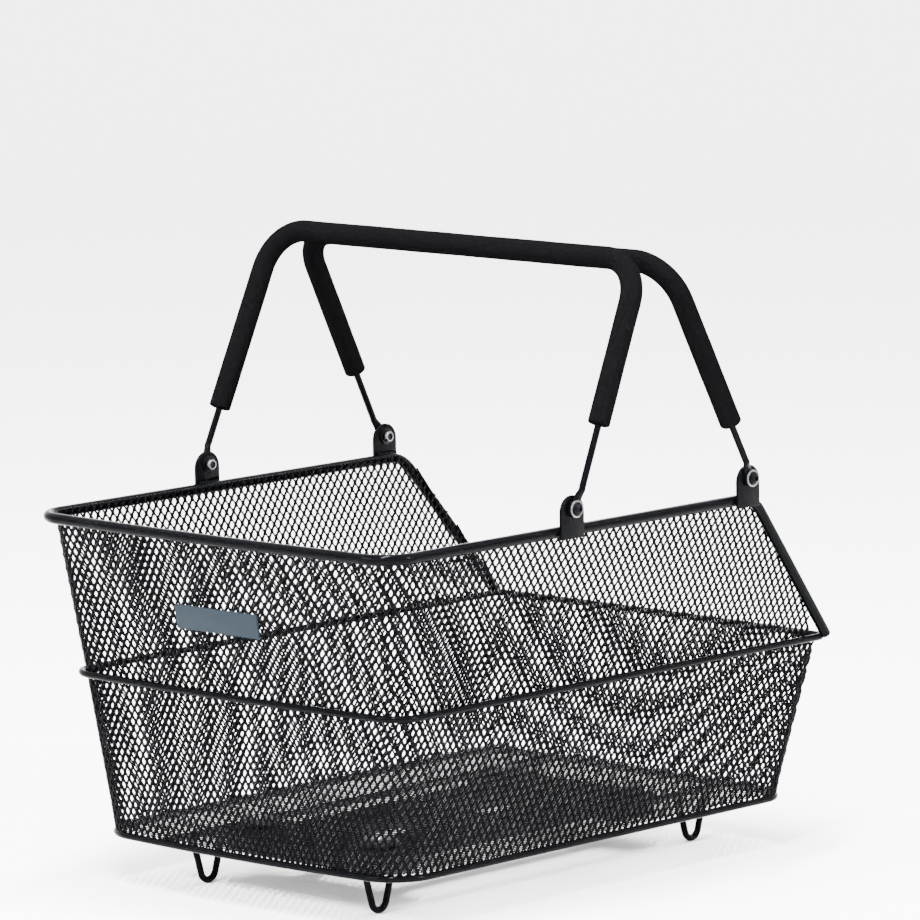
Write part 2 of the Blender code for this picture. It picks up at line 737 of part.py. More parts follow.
def build_badge():
    """A blank plate outside the mesh and a strip inside it, both leaning with the wall."""
    slope = math.atan((TOP_HIGH_END - HOOP_HIGH_END) / (RIM_Z - HOOP_Z))
    wall = high_end(BADGE_RISE)
    outside = wall - HIGH_END_BOW - GAP - BADGE_THICKNESS / 2
    plate = box("badge_plate", (BADGE_WIDTH, BADGE_THICKNESS, BADGE_HEIGHT), (0, 0, 0), badge_grey())
    edge = plate.modifiers.new("edge", "BEVEL")
    edge.width = BADGE_EDGE
    edge.segments = 2
    plate.location = (0.0, outside, BADGE_RISE)
    plate.rotation_euler = (slope, 0.0, 0.0)
    sag = HIGH_END_BOW * (BACKING_WIDTH / 2 / (half_width(BADGE_RISE) - high_corner(BADGE_RISE))) ** 2
    inside = wall - HIGH_END_BOW + MESH_THICKNESS + sag + 2 * GAP + BADGE_THICKNESS / 2
    strip = box("badge_backing", (BACKING_WIDTH, BADGE_THICKNESS, BACKING_HEIGHT), (0, 0, 0), plastic())
    strip.location = (0.0, inside, BADGE_RISE)
    strip.rotation_euler = (slope, 0.0, 0.0)


# ---------------------------------------------------------------- adapter plate

def plate_outline():
    rail = PLATE_RAIL_WIDTH / 2
    end = PLATE_END_WIDTH / 2
    half = PLATE_LENGTH / 2
    neck = half - PLATE_END_LENGTH
    corners = [(-end, -half), (end, -half), (end, -neck), (rail, -neck), (rail, neck), (end, neck),
               (end, half), (-end, half), (-end, neck), (-rail, neck), (-rail, -neck), (-end, -neck)]
    return rounded_corners(corners, PLATE_CORNER)


def build_adapter():
    """Moulded plate under the floor, four discs on top of it and their screws, and the latch slide."""
    plate = extruded("adapter_plate", plate_outline(), PLATE_BOTTOM, PLATE_TOP, plastic())
    middle = (PLATE_TOP + PLATE_BOTTOM) / 2
    for label, y in (("high", -WINDOW_MIDDLE), ("low", WINDOW_MIDDLE)):
        half_x = WINDOW_WIDTH / 2
        half_y = WINDOW_LENGTH / 2
        near = y - half_y
        far = y + half_y
        corners = [(-half_x, near), (half_x, near), (half_x, far), (-half_x, far)]
        window = extruded("window_" + label, rounded_corners(corners, WINDOW_CORNER),
                          PLATE_BOTTOM - CUT_MARGIN, PLATE_TOP + CUT_MARGIN, plastic())
        cut(plate, window)
    mouth = -PLATE_LENGTH / 2 - POCKET_MOUTH
    depth = -PLATE_LENGTH / 2 + LATCH_LENGTH + LATCH_TRAVEL + GAP
    pocket_size = (LATCH_WIDTH + 2 * GAP, depth - mouth, LATCH_HEIGHT + 2 * GAP)
    pocket = box("latch_pocket", pocket_size, (0, 0, 0), plastic())
    pocket.location = (0.0, (mouth + depth) / 2, middle)
    cut(plate, pocket)
    slide = box("latch_slide", (LATCH_WIDTH, LATCH_LENGTH, LATCH_HEIGHT), (0, 0, 0), plastic())
    slide.location = (0.0, -PLATE_LENGTH / 2 + LATCH_LENGTH / 2 - GAP, middle)
    edge = slide.modifiers.new("edge", "BEVEL")
    edge.width = LATCH_EDGE
    edge.segments = 2
    disc_low = FLOOR_TOP + GAP
    disc_high = disc_low + DISC_HEIGHT
    hole = SCREW_RADIUS + HOLE_CLEARANCE
    for number, (x, y) in enumerate(screw_places(), start=1):
        bottom = PLATE_TOP - SCREW_DEPTH - CUT_MARGIN
        cut(plate, screw_cutter(f"plate_hole_{number}", x, y, bottom, PLATE_TOP + CUT_MARGIN))
        dish = DISC_HEIGHT - SCREW_HEAD_HEIGHT * SCREW_SINK
        seat = SCREW_HEAD_RADIUS + 2 * HOLE_CLEARANCE
        profile = [(hole, 0.0), (DISC_RADIUS, 0.0), (DISC_RADIUS, DISC_EDGE),
                   (DISC_RADIUS * DISC_TOP_SHARE, DISC_HEIGHT), (seat, DISC_HEIGHT),
                   (seat, dish), (hole, dish), (hole, 0.0)]
        disc = turned(f"clamp_disc_{number}", profile, plastic(), segments=20)
        disc.location = (x, y, disc_low)
        under_head = disc_low + dish + GAP
        depth = under_head - (PLATE_TOP - SCREW_DEPTH)
        head = [(SCREW_HEAD_RADIUS * math.cos(a), SCREW_HEAD_HEIGHT * math.sin(a))
                for a in (math.pi / 2 * k / 3 for k in range(1, 3))]
        shape = [(SCREW_RADIUS, -depth), (SCREW_RADIUS, 0.0), (SCREW_HEAD_RADIUS, 0.0),
                 *head, (0.0, SCREW_HEAD_HEIGHT)]
        screw = turned(f"clamp_screw_{number}", shape, steel())
        screw.location = (x, y, under_head)


def main():
    clear_scene()
    build_rim_and_hoops()
    build_mesh_walls()
    build_floor()
    build_runners_and_feet()
    build_brackets()
    build_handles()
    build_pivot_hardware()
    build_badge()
    build_adapter()


main()
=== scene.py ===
"""Looks for the bicycle carrier basket: expanded mesh, coated wires, foam grips and fittings."""
import json
import math

import bmesh
import bpy
from bpy.props import FloatProperty, FloatVectorProperty, IntProperty, PointerProperty
from mathutils import Matrix, Vector


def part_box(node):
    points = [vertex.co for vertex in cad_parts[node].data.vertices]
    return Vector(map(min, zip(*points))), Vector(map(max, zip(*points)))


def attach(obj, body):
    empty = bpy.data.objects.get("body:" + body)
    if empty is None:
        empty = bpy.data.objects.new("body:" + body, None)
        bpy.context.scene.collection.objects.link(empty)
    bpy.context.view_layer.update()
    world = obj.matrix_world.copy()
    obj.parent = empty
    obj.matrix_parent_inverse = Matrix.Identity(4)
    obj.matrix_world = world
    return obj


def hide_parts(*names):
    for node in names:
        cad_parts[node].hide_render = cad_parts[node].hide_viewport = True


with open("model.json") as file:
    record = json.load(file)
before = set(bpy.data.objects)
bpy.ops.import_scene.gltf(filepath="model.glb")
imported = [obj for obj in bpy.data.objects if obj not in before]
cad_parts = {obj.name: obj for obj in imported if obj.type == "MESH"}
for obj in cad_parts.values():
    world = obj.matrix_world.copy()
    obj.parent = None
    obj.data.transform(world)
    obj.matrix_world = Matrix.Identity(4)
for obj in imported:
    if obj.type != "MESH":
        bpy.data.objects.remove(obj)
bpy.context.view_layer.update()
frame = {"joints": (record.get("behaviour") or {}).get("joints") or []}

bl_info = {
    "name": "Carrier basket looks",
    "version": (1, 0, 0),
    "blender": (4, 5, 0),
    "location": "View3D > Sidebar > Basket",
    "description": "Builds the finished surfaces of a bicycle carrier basket around its CAD frame",
    "category": "Object",
}

GAP = 0.0003                # left between pieces in the CAD frame
SAME_PLACE = 0.000001       # points closer than this are merged
SHARP = math.radians(40.0)  # an edge turning by more than this is rounded or stays sharp
EDGE_OVERLAP = 0.0022       # how far the mesh runs up or out behind the rim tube
BEND_OVERLAP = 0.0016       # and at the rim's bend
HOOP_OVERLAP = 0.0018       # the low end's mesh stops this far over the hoop's middle
SEAM_INSET = 0.003          # a weld seam's ends from a bracket's edges
EYE_RISE = 0.0012           # from a rod eye's round part to its neck
NECK_HALF_WIDTH = 0.0040
LEG_CLEARANCE = 0.0008      # more room between a rod and its bracket
BORE = 0.0028               # radius of the holes round 5 mm bolts and screws
SHANK = 0.0025              # radius of a bolt's or a screw's shank
BOLT_HEAD = 0.0030          # height of a pivot bolt's head
SCREW_HEAD = 0.0026         # height of a clamp screw's head
DISH_RIM = 0.0058           # radius of the dish in a clamp disc
ROUND_OFF = 0.0003          # small roundings along turned edges
NOTCH = 0.0026              # radius of a finger notch
BODY = "basket"


# ---------------------------------------------------------------- what the CAD frame says

def low(node):
    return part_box(node)[0]


def high(node):
    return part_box(node)[1]


def middle(node):
    return (low(node) + high(node)) / 2


def thickness(node, axis):
    return high(node)[axis] - low(node)[axis]


def joint(name):
    return next(entry for entry in frame["joints"] if entry["name"] == name)


HOOP_RADIUS = thickness("mid_hoop", 2) / 2
BASE_RADIUS = thickness("base_hoop", 2) / 2
WIRE_RADIUS = thickness("foot_high_left", 0) / 2
SHEET = thickness("mesh_floor", 2)
BASE_Z = middle("base_hoop").z
MESH_Z = low("mesh_floor").z
FLOOR_TOP = high("mesh_floor").z
HOOP_Z = middle("mid_hoop").z
CORNERS = [("high", "left", -1), ("high", "right", 1), ("low", "left", -1), ("low", "right", 1)]


# ---------------------------------------------------------------- sizes and colours to change

class TubShape(bpy.types.PropertyGroup):
    """Roundings of the tub that the frame's boxes can't tell"""
    rim_radius: FloatProperty(name="Rim radius", description="Half the rim tube's diameter",
                              default=0.0040, min=0.001, unit="LENGTH")
    high_bow: FloatProperty(name="High end bow", description="Bulge of the high end past corners",
                            default=0.0045, min=0.0, unit="LENGTH")
    low_bow: FloatProperty(name="Low end bow", description="Bulge of the low end past its corners",
                           default=0.0030, min=0.0, unit="LENGTH")
    high_corner_base: FloatProperty(name="High corner, floor",
                                    description="Corner radius at the floor",
                                    default=0.0333, unit="LENGTH")
    high_corner_hoop: FloatProperty(name="High corner, hoop",
                                    description="Corner radius at the hoop",
                                    default=0.0190, unit="LENGTH")
    high_corner_rim: FloatProperty(name="High corner, rim", description="Corner radius at the rim",
                                   default=0.0207, unit="LENGTH")
    low_corner_base: FloatProperty(name="Low corner, floor",
                                   description="Corner radius at the floor",
                                   default=0.0242, unit="LENGTH")
    low_corner_hoop: FloatProperty(name="Low corner, hoop", description="Corner radius at the hoop",
                                   default=0.0045, unit="LENGTH")
    peak_y: FloatProperty(name="Rim peak", description="Where the rim's level part ends",
                          default=0.1466, unit="LENGTH")
    peak_bend: FloatProperty(name="Peak bend", description="Each leg of the bend at the peak",
                             default=0.014, unit="LENGTH")


class MeshPattern(bpy.types.PropertyGroup):
    """The expanded metal's diamonds"""
    pitch_across: FloatProperty(name="Pitch across", description="Short way of a diamond",
                                default=0.0070, min=0.002, unit="LENGTH")
    pitch_up: FloatProperty(name="Pitch up", description="Long way of a diamond",
                            default=0.0099, min=0.002, unit="LENGTH")
    hole_width: FloatProperty(name="Hole width", description="Clear width of a diamond",
                              default=0.0038, unit="LENGTH")
    hole_height: FloatProperty(name="Hole height", description="Clear height of a diamond",
                               default=0.0058, unit="LENGTH")
    strand: FloatProperty(name="Strand thickness", description="Thickness of a coated strand",
                          default=0.0020, unit="LENGTH")
    floor_strand: FloatProperty(name="Floor strand", description="Share of it left in the floor",
                                default=0.45, min=0.2, max=1.0)
    twist: FloatProperty(name="Twist", description="How far a strand's edges lean out of the sheet",
                         default=0.00030, unit="LENGTH")
    squareness: FloatProperty(name="Squareness", description="1 is an oval hole, 2 a sharp diamond",
                              default=1.55, min=1.0, max=2.0)
    points: IntProperty(name="Points", description="Points round each hole", default=12, min=8,
                        max=32)
    lean: FloatProperty(name="Lean", description="Slant of the rows of holes on the right side",
                        default=0.22)
    sag: FloatProperty(name="Sag", description="Drop of the rows to the low end, per metre squared",
                       default=0.296)
    wobble: FloatProperty(name="Wobble", description="Uneven stretch of the sheet",
                          default=0.0005, unit="LENGTH")


class HandleShape(bpy.types.PropertyGroup):
    """Both folding handles and their grips"""
    reach: FloatProperty(name="Reach", description="Pivot axis to the middle of the bar",
                         default=0.1845, unit="LENGTH")
    bend: FloatProperty(name="Bend", description="Radius of the rod's bends",
                        default=0.032, unit="LENGTH")
    lean: FloatProperty(name="Lean", description="How far a leg leans in from pivot to bar",
                        default=0.0052, unit="LENGTH")
    rod_radius: FloatProperty(name="Rod radius", description="Half the rod's diameter",
                              default=0.0025, unit="LENGTH")
    eye_radius: FloatProperty(name="Eye radius", description="Round end of the pressed eye",
                              default=0.0062, unit="LENGTH")
    eye_thickness: FloatProperty(name="Eye thickness", description="Thickness of the pressed eye",
                                 default=0.0026, unit="LENGTH")
    eye_flat: FloatProperty(name="Eye length", description="Length of the pressed part",
                            default=0.016, unit="LENGTH")
    high_tilt: FloatProperty(name="High handle tilt", description="Lean towards the middle at rest",
                             default=math.radians(24.3), unit="ROTATION")
    low_tilt: FloatProperty(name="Low handle tilt", description="Lean towards the middle at rest",
                            default=math.radians(27.6), unit="ROTATION")
    grip_radius: FloatProperty(name="Grip radius", description="Half the foam's diameter",
                               default=0.0080, unit="LENGTH")
    grip_start: FloatProperty(name="Grip start", description="Pivot to the foam's end, on average",
                              default=0.0530, unit="LENGTH")
    high_shift: FloatProperty(name="High grip shift", description="How far the foam has slid round",
                              default=0.0095, unit="LENGTH")
    low_shift: FloatProperty(name="Low grip shift", description="How far the foam has slid round",
                             default=-0.0055, unit="LENGTH")
    unevenness: FloatProperty(name="Unevenness", description="Waviness of the foam's surface",
                              default=0.00010, unit="LENGTH")


class Finishes(bpy.types.PropertyGroup):
    """Colours of the coats, foam, steel and plastic"""
    coat: FloatVectorProperty(name="Gloss coat", description="Powder coat of tubes and wires",
                              default=(0.0008, 0.0009, 0.0012), subtype="COLOR", min=0, max=1)
    mesh_coat: FloatVectorProperty(name="Mesh coat", description="Powder coat of the mesh",
                                   default=(0.0008, 0.0009, 0.0012), subtype="COLOR", min=0, max=1)
    foam: FloatVectorProperty(name="Foam", description="Foam grips",
                              default=(0.0018, 0.0018, 0.0020), subtype="COLOR", min=0, max=1)
    steel: FloatVectorProperty(name="Bright steel", description="Washers, nuts and screws",
                               default=(0.12, 0.12, 0.13), subtype="COLOR", min=0, max=1)
    dark_steel: FloatVectorProperty(name="Dark steel", description="Pivot bolts",
                                    default=(0.003, 0.003, 0.0035), subtype="COLOR", min=0, max=1)
    badge: FloatVectorProperty(name="Badge", description="Badge plate",
                               default=(0.010, 0.014, 0.018), subtype="COLOR", min=0, max=1)
    plastic: FloatVectorProperty(name="Plastic", description="Adapter plate and discs",
                                 default=(0.0040, 0.0042, 0.0048), subtype="COLOR", min=0, max=1)


class StageSetup(bpy.types.PropertyGroup):
    """Camera, lights and floor"""
    azimuth: FloatProperty(name="Azimuth", description="Camera's direction round the basket",
                           default=math.radians(42.88), unit="ROTATION")
    elevation: FloatProperty(name="Elevation", description="Camera's height angle",
                             default=math.radians(8.06), unit="ROTATION")
    roll: FloatProperty(name="Roll", description="Camera's roll",
                        default=math.radians(-0.74), unit="ROTATION")
    distance: FloatProperty(name="Distance", description="Camera to the point it looks at",
                            default=5.0, unit="LENGTH")
    lens: FloatProperty(name="Lens", description="Focal length in millimetres", default=268.3)
    target: FloatVectorProperty(name="Target", description="Point in the middle of the frame",
                                default=(-0.0056, 0.0296, 0.2945), unit="LENGTH")
    floor: FloatVectorProperty(name="Floor colour", description="Floor and backdrop",
                               default=(0.94, 0.94, 0.94), subtype="COLOR", min=0, max=1)
    sky: FloatProperty(name="Sky", description="Strength of the even light", default=4.5)


def settings():
    return bpy.context.scene.basket_looks


class BasketLooks(bpy.types.PropertyGroup):
    """Everything a user may change"""
    tub: PointerProperty(type=TubShape)
    pattern: PointerProperty(type=MeshPattern)
    handles: PointerProperty(type=HandleShape)
    finishes: PointerProperty(type=Finishes)
    stage: PointerProperty(type=StageSetup)


# ---------------------------------------------------------------- materials

def new_material(name, color, roughness, metallic=0.0, gloss=0.5):
    made = bpy.data.materials.new(name)
    made.use_nodes = True
    shader = made.node_tree.nodes["Principled BSDF"]
    shader.inputs["Base Color"].default_value = (*color, 1.0)
    shader.inputs["Roughness"].default_value = roughness
    shader.inputs["Metallic"].default_value = metallic
    shader.inputs["Specular IOR Level"].default_value = gloss
    return made, shader


def noise(tree, scale, detail=3.0, roughness=0.55, stretch=None):
    """A noise texture on Object coordinates; stretch scales it along X, Y and Z."""
    place = tree.nodes.new("ShaderNodeTexCoord")
    source = place.outputs["Object"]
    if stretch:
        mapping = tree.nodes.new("ShaderNodeMapping")
        mapping.inputs["Scale"].default_value = stretch
        tree.links.new(source, mapping.inputs["Vector"])
        source = mapping.outputs["Vector"]
    texture = tree.nodes.new("ShaderNodeTexNoise")
    texture.inputs["Scale"].default_value = scale
    texture.inputs["Detail"].default_value = detail
    texture.inputs["Roughness"].default_value = roughness
    tree.links.new(source, texture.inputs["Vector"])
    return texture.outputs["Fac"]


def spread(tree, value, lowest, highest):
    """Map a noise's middle range to a range of values."""
    mapped = tree.nodes.new("ShaderNodeMapRange")
    for label, number in (("From Min", 0.3), ("From Max", 0.7),
                          ("To Min", lowest), ("To Max", highest)):
        mapped.inputs[label].default_value = number
    tree.links.new(value, mapped.inputs["Value"])
    return mapped.outputs["Result"]


def mottle(tree, shader, value, color, change):
    """Vary the base colour a little, darker and lighter, with a noise."""
    ramp = tree.nodes.new("ShaderNodeValToRGB")
    ramp.color_ramp.elements[0].position = 0.30
    ramp.color_ramp.elements[1].position = 0.70
    ramp.color_ramp.elements[0].color = (*[c * (1 - change) for c in color], 1.0)
    ramp.color_ramp.elements[1].color = (*[c * (1 + change) for c in color], 1.0)
    tree.links.new(value, ramp.inputs["Fac"])
    tree.links.new(ramp.outputs["Color"], shader.inputs["Base Color"])


def bump(tree, shader, layers):
    """Add up bump layers of (height, distance in metres, strength) on the shader's normal."""
    normal = None
    for height, distance, strength in layers:
        layer = tree.nodes.new("ShaderNodeBump")
        layer.inputs["Strength"].default_value = strength
        layer.inputs["Distance"].default_value = distance
        tree.links.new(height, layer.inputs["Height"])
        if normal:
            tree.links.new(normal, layer.inputs["Normal"])
        normal = layer.outputs["Normal"]
    tree.links.new(normal, shader.inputs["Normal"])


def powder_coat(name, color, roughness, gloss):
    """A baked powder coat: faint orange peel, with patches a little duller than others."""
    made, shader = new_material(name, color, roughness, gloss=gloss)
    tree = made.node_tree
    mottle(tree, shader, noise(tree, 38.0), color, 0.18)
    rough = spread(tree, noise(tree, 120.0, 4.0), roughness - 0.05, roughness + 0.07)
    tree.links.new(rough, shader.inputs["Roughness"])
    bump(tree, shader, [(noise(tree, 900.0, 2.0), 0.00003, 0.35),
                        (noise(tree, 160.0, 2.0), 0.00006, 0.25)])
    return made


def foam_material(name, color):
    """Closed-cell foam: matte, with open cells cut through at its skin and a faint rub along it."""
    made, shader = new_material(name, color, 0.80, gloss=0.0)
    tree = made.node_tree
    mottle(tree, shader, noise(tree, 700.0, 4.0), color, 0.35)
    place = tree.nodes.new("ShaderNodeTexCoord")
    cells = tree.nodes.new("ShaderNodeTexVoronoi")
    cells.inputs["Scale"].default_value = 1500.0
    tree.links.new(place.outputs["Object"], cells.inputs["Vector"])
    layers = [(cells.outputs["Distance"], 0.00018, 0.75), (noise(tree, 320.0, 4.0), 0.00022, 0.45)]
    bump(tree, shader, layers)
    return made


def steel_material(name, color, roughness):
    """Plated steel, turned: fine rings of tool marks and a few duller patches."""
    made, shader = new_material(name, color, roughness, metallic=1.0)
    tree = made.node_tree
    mottle(tree, shader, noise(tree, 260.0), color, 0.10)
    rough = spread(tree, noise(tree, 900.0, 4.0), roughness - 0.07, roughness + 0.10)
    tree.links.new(rough, shader.inputs["Roughness"])
    bump(tree, shader, [(noise(tree, 1600.0, 3.0, stretch=(6.0, 1.0, 1.0)), 0.00002, 0.30)])
    return made


def badge_material(name, color):
    """Painted sheet, brushed along its length."""
    made, shader = new_material(name, color, 0.50, gloss=0.02)
    tree = made.node_tree
    mottle(tree, shader, noise(tree, 300.0, 3.0, stretch=(1.0, 6.0, 30.0)), color, 0.10)
    bump(tree, shader, [(noise(tree, 700.0, 3.0, stretch=(1.0, 1.0, 14.0)), 0.00002, 0.30)])
    return made


def plastic_material(name, color):
    """Fibre-filled moulded plastic with a spark-eroded grain."""
    made, shader = new_material(name, color, 0.40, gloss=0.05)
    tree = made.node_tree
    mottle(tree, shader, noise(tree, 90.0), color, 0.15)
    rough = spread(tree, noise(tree, 500.0, 4.0), 0.46, 0.62)
    tree.links.new(rough, shader.inputs["Roughness"])
    bump(tree, shader, [(noise(tree, 2200.0, 3.0), 0.00008, 0.55)])
    return made


def finish(name):
    """The material for a record slot, made when first asked for."""
    colors = settings().finishes
    material, make, values = {
        "gloss_black_coat": ("gloss_powder_coat", powder_coat, (colors.coat, 0.10, 0.018)),
        "satin_black_coat": ("mesh_powder_coat", powder_coat, (colors.mesh_coat, 0.16, 0.02)),
        "black_foam": ("closed_cell_foam", foam_material, (colors.foam,)),
        "bright_steel": ("plated_steel", steel_material, (colors.steel, 0.28)),
        "dark_steel": ("blackened_steel", steel_material, (colors.dark_steel, 0.34)),
        "badge_grey": ("badge_paint", badge_material, (colors.badge,)),
        "black_plastic": ("moulded_plastic", plastic_material, (colors.plastic,)),
    }[name]
    return bpy.data.materials.get(material) or make(material, *values)


# ---------------------------------------------------------------- mesh helpers

def keep(name, data, slot, body=BODY, replaced=()):
    """Link a finished mesh as a piece: its finish, its body and the nodes it stands for."""
    data.name = name
    data.materials.clear()
    data.materials.append(finish(slot))
    piece = bpy.data.objects.new(name, data)
    bpy.context.scene.collection.objects.link(piece)
    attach(piece, body)
    if replaced:
        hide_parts(*replaced)
    return piece


def mesh_from(bm, smooth=40.0):
    """A mesh of a bmesh, its normals turned out and its corners above the angle left sharp."""
    bmesh.ops.remove_doubles(bm, verts=bm.verts, dist=SAME_PLACE)
    bmesh.ops.recalc_face_normals(bm, faces=bm.faces)
    data = bpy.data.meshes.new("mesh")
    bm.to_mesh(data)
    bm.free()
    data.shade_smooth()
    data.set_sharp_from_angle(angle=math.radians(smooth))
    return data


def scratch(data):
    """A passing object that holds a mesh while modifiers work on it."""
    holder = bpy.data.objects.new("holder", data)
    bpy.context.scene.collection.objects.link(holder)
    return holder


def evaluated_mesh(holder):
    graph = bpy.context.evaluated_depsgraph_get()
    graph.update()
    return bpy.data.meshes.new_from_object(holder.evaluated_get(graph), depsgraph=graph)


def bevelled(bm, width, segments):
    """A mesh whose sharp edges are rounded."""
    bmesh.ops.remove_doubles(bm, verts=bm.verts, dist=SAME_PLACE)
    holder = solid(bm)
    rounding = holder.modifiers.new("edge", "BEVEL")
    rounding.width = width
    rounding.segments = segments
    rounding.limit_method = "ANGLE"
    rounding.angle_limit = SHARP
    made = evaluated_mesh(holder)
    bpy.data.objects.remove(holder)
    made.shade_smooth()
    made.set_sharp_from_angle(angle=SHARP)
    return made


def tangents(points, closed):
    count = len(points)
    result = []
    for k in range(count):
        after = points[(k + 1) % count] if closed else points[min(k + 1, count - 1)]
        before = points[k - 1] if closed or k else points[0]
        result.append((after - before).normalized())
    return result


def carried_frames(points, closed, start=Vector((0.0, 0.0, 1.0))):
    """A side direction at every point, carried along so that a section doesn't twist."""
    along = tangents(points, closed)
    side = (start - along[0] * start.dot(along[0])).normalized()
    frames = []
    for direction in along:
        side = (side - direction * side.dot(direction)).normalized()
        frames.append((direction, side, direction.cross(side)))
    return frames


def swept(points, radius, sides=20, closed=False, cap=0.0006):
    """A round bar along points. Open ends are closed with a small rounding."""
    bm = bmesh.new()
    frames = carried_frames(points, closed)
    turn = [2 * math.pi * s / sides for s in range(sides)]

    def ring(centre, side, other, size):
        return [bm.verts.new(centre + (side * math.cos(a) + other * math.sin(a)) * size)
                for a in turn]

    rings = []
    if not closed:
        direction, side, other = frames[0]
        for k in range(3):
            a = math.pi / 2 * k / 3
            rings.append(ring(points[0] - direction * cap * math.cos(a) + direction * cap,
                              side, other, radius - cap + cap * math.sin(a)))
    inner = zip(points, frames) if closed else list(zip(points, frames))[1:-1]
    for centre, (direction, side, other) in inner:
        rings.append(ring(centre, side, other, radius))
    if not closed:
        direction, side, other = frames[-1]
        for k in (3, 2, 1, 0):
            a = math.pi / 2 * k / 3
            rings.append(ring(points[-1] + direction * cap * math.cos(a) - direction * cap,
                              side, other, radius - cap + cap * math.sin(a)))
    pairs = list(zip(rings, rings[1:]))
    if closed:
        pairs.append((rings[-1], rings[0]))
    for near, far in pairs:
        for s in range(sides):
            n = (s + 1) % sides
            bm.faces.new((near[s], near[n], far[n], far[s]))
    if not closed:
        bm.faces.new(list(reversed(rings[0])))
        bm.faces.new(rings[-1])
    return bm


def turned(profile, segments=48):
    """Turn (radius, height) points about Z. They start and end on the axis, or make a loop."""
    bm = bmesh.new()
    rings = []
    for radius, height in profile:
        if radius == 0.0:
            rings.append([bm.verts.new((0.0, 0.0, height))])
            continue
        turn = [2 * math.pi * k / segments for k in range(segments)]
        rings.append([bm.verts.new((radius * math.cos(a), radius * math.sin(a), height))
                      for a in turn])
    for near, far in zip(rings, rings[1:]):
        for k in range(segments):
            n = (k + 1) % segments
            corners = [near[k % len(near)], near[n % len(near)], far[n % len(far)],
                       far[k % len(far)]]
            unique = list(dict.fromkeys(corners))
            if len(unique) > 2:
                bm.faces.new(unique)
    return bm


def placed(data, matrix):
    data.transform(matrix)
    return data


def out_along_x(side, x, y, z):
    """Turns a piece made about Z so that its top points away from the basket, and places it."""
    return Matrix.Translation((x, y, z)) @ Matrix.Rotation(side * math.pi / 2, 4, "Y")


# ---------------------------------------------------------------- the tub's shape

def levels():
    """The tub's outside at the floor, the middle hoop and the rim, read from the frame's boxes."""
    tub = settings().tub
    rim_z = high("rim_tube").z - tub.rim_radius
    hoop_out = 2 * HOOP_RADIUS + GAP
    base_out = BASE_RADIUS - SHEET / 2
    return [
        {"z": MESH_Z, "width": high("base_hoop").x - base_out,
         "high": -low("base_hoop").y - base_out - tub.high_bow,
         "low": high("base_hoop").y - base_out - tub.low_bow,
         "high_corner": tub.high_corner_base, "low_corner": tub.low_corner_base},
        {"z": HOOP_Z, "width": high("mid_hoop").x - hoop_out,
         "high": -low("mid_hoop").y - hoop_out - tub.high_bow,
         "low": high("mid_hoop").y - hoop_out - tub.low_bow,
         "high_corner": tub.high_corner_hoop, "low_corner": tub.low_corner_hoop},
        {"z": rim_z, "width": high("mesh_high_end").x,
         "high": -low("mesh_high_end").y - tub.high_bow,
         "low": high("mid_hoop").y - hoop_out - tub.low_bow,
         "high_corner": tub.high_corner_rim, "low_corner": tub.low_corner_hoop},
    ]


def at(z, key):
    """A size of the tub at height z."""
    base, hoop, rim = levels()
    under, over = (base, hoop) if z <= hoop["z"] else (hoop, rim)
    share = (z - under["z"]) / (over["z"] - under["z"])
    return under[key] + (over[key] - under[key]) * share


def arc(cx, cy, radius, start, end, z, steps=14):
    turn = [start + (end - start) * k / steps for k in range(steps + 1)]
    return [Vector((cx + radius * math.cos(a), cy + radius * math.sin(a), z)) for a in turn]


def bulge(inner, end, bow, z, sign, steps=24):
    """Points between an end's two corners, from -X to +X if sign is 1."""
    result = []
    for k in range(1, steps):
        x = sign * inner * (2 * k / steps - 1)
        result.append(Vector((x, end + math.copysign(bow, end) * (1 - (x / inner) ** 2), z)))
    return result


def ring_path(z, offset=0.0):
    """The tub's whole outline at height z, from the right side round the high end and back."""
    width = at(z, "width") + offset
    tub = settings().tub
    r = at(z, "high_corner") + offset
    end = -at(z, "high") - offset
    inner = width - r
    points = arc(inner, end + r, r, 0.0, -math.pi / 2, z)
    points += bulge(inner, end, tub.high_bow, z, -1)
    points += arc(-inner, end + r, r, -math.pi / 2, -math.pi, z)
    high_count = len(points)
    r = at(z, "low_corner") + offset
    end = at(z, "low") + offset
    inner = width - r
    points += arc(-inner, end - r, r, math.pi, math.pi / 2, z)
    points += bulge(inner, end, tub.low_bow, z, 1)
    points += arc(inner, end - r, r, math.pi / 2, 0.0, z)
    return points, high_count


def drop_point(t):
    """Centre of the rim's sloping end on the right, from its peak (0) to the middle hoop (1)."""
    tub = settings().tub
    rim_z = levels()[2]["z"]
    z = rim_z + (HOOP_Z + HOOP_RADIUS + tub.rim_radius + GAP - rim_z) * t
    foot = levels()[1]["low"] - tub.rim_radius / 2
    y = tub.peak_y + (foot - tub.peak_y) * t
    return Vector((at(z, "width") + GAP + tub.rim_radius, y, z))


def rim_path(steps=12):
    """Centre line of the rim, from the right low corner round the high end to the left one."""
    tub = settings().tub
    rim_z = levels()[2]["z"]
    peak = drop_point(0.0)
    back = Vector((peak.x, peak.y - tub.peak_bend, rim_z))
    down = drop_point(tub.peak_bend / (drop_point(1.0) - peak).length)
    half = [drop_point(t) for t in (1.05, 0.8, 0.5, 0.25)]
    for k in range(steps + 1):
        t = k / steps
        half.append(down * (1 - t) ** 2 + peak * 2 * t * (1 - t) + back * t ** 2)
    points, high_count = ring_path(rim_z, GAP + tub.rim_radius)
    other = [Vector((-p.x, p.y, p.z)) for p in reversed(half)]
    return half + points[:high_count] + other


# ---------------------------------------------------------------- Geometry Nodes helpers

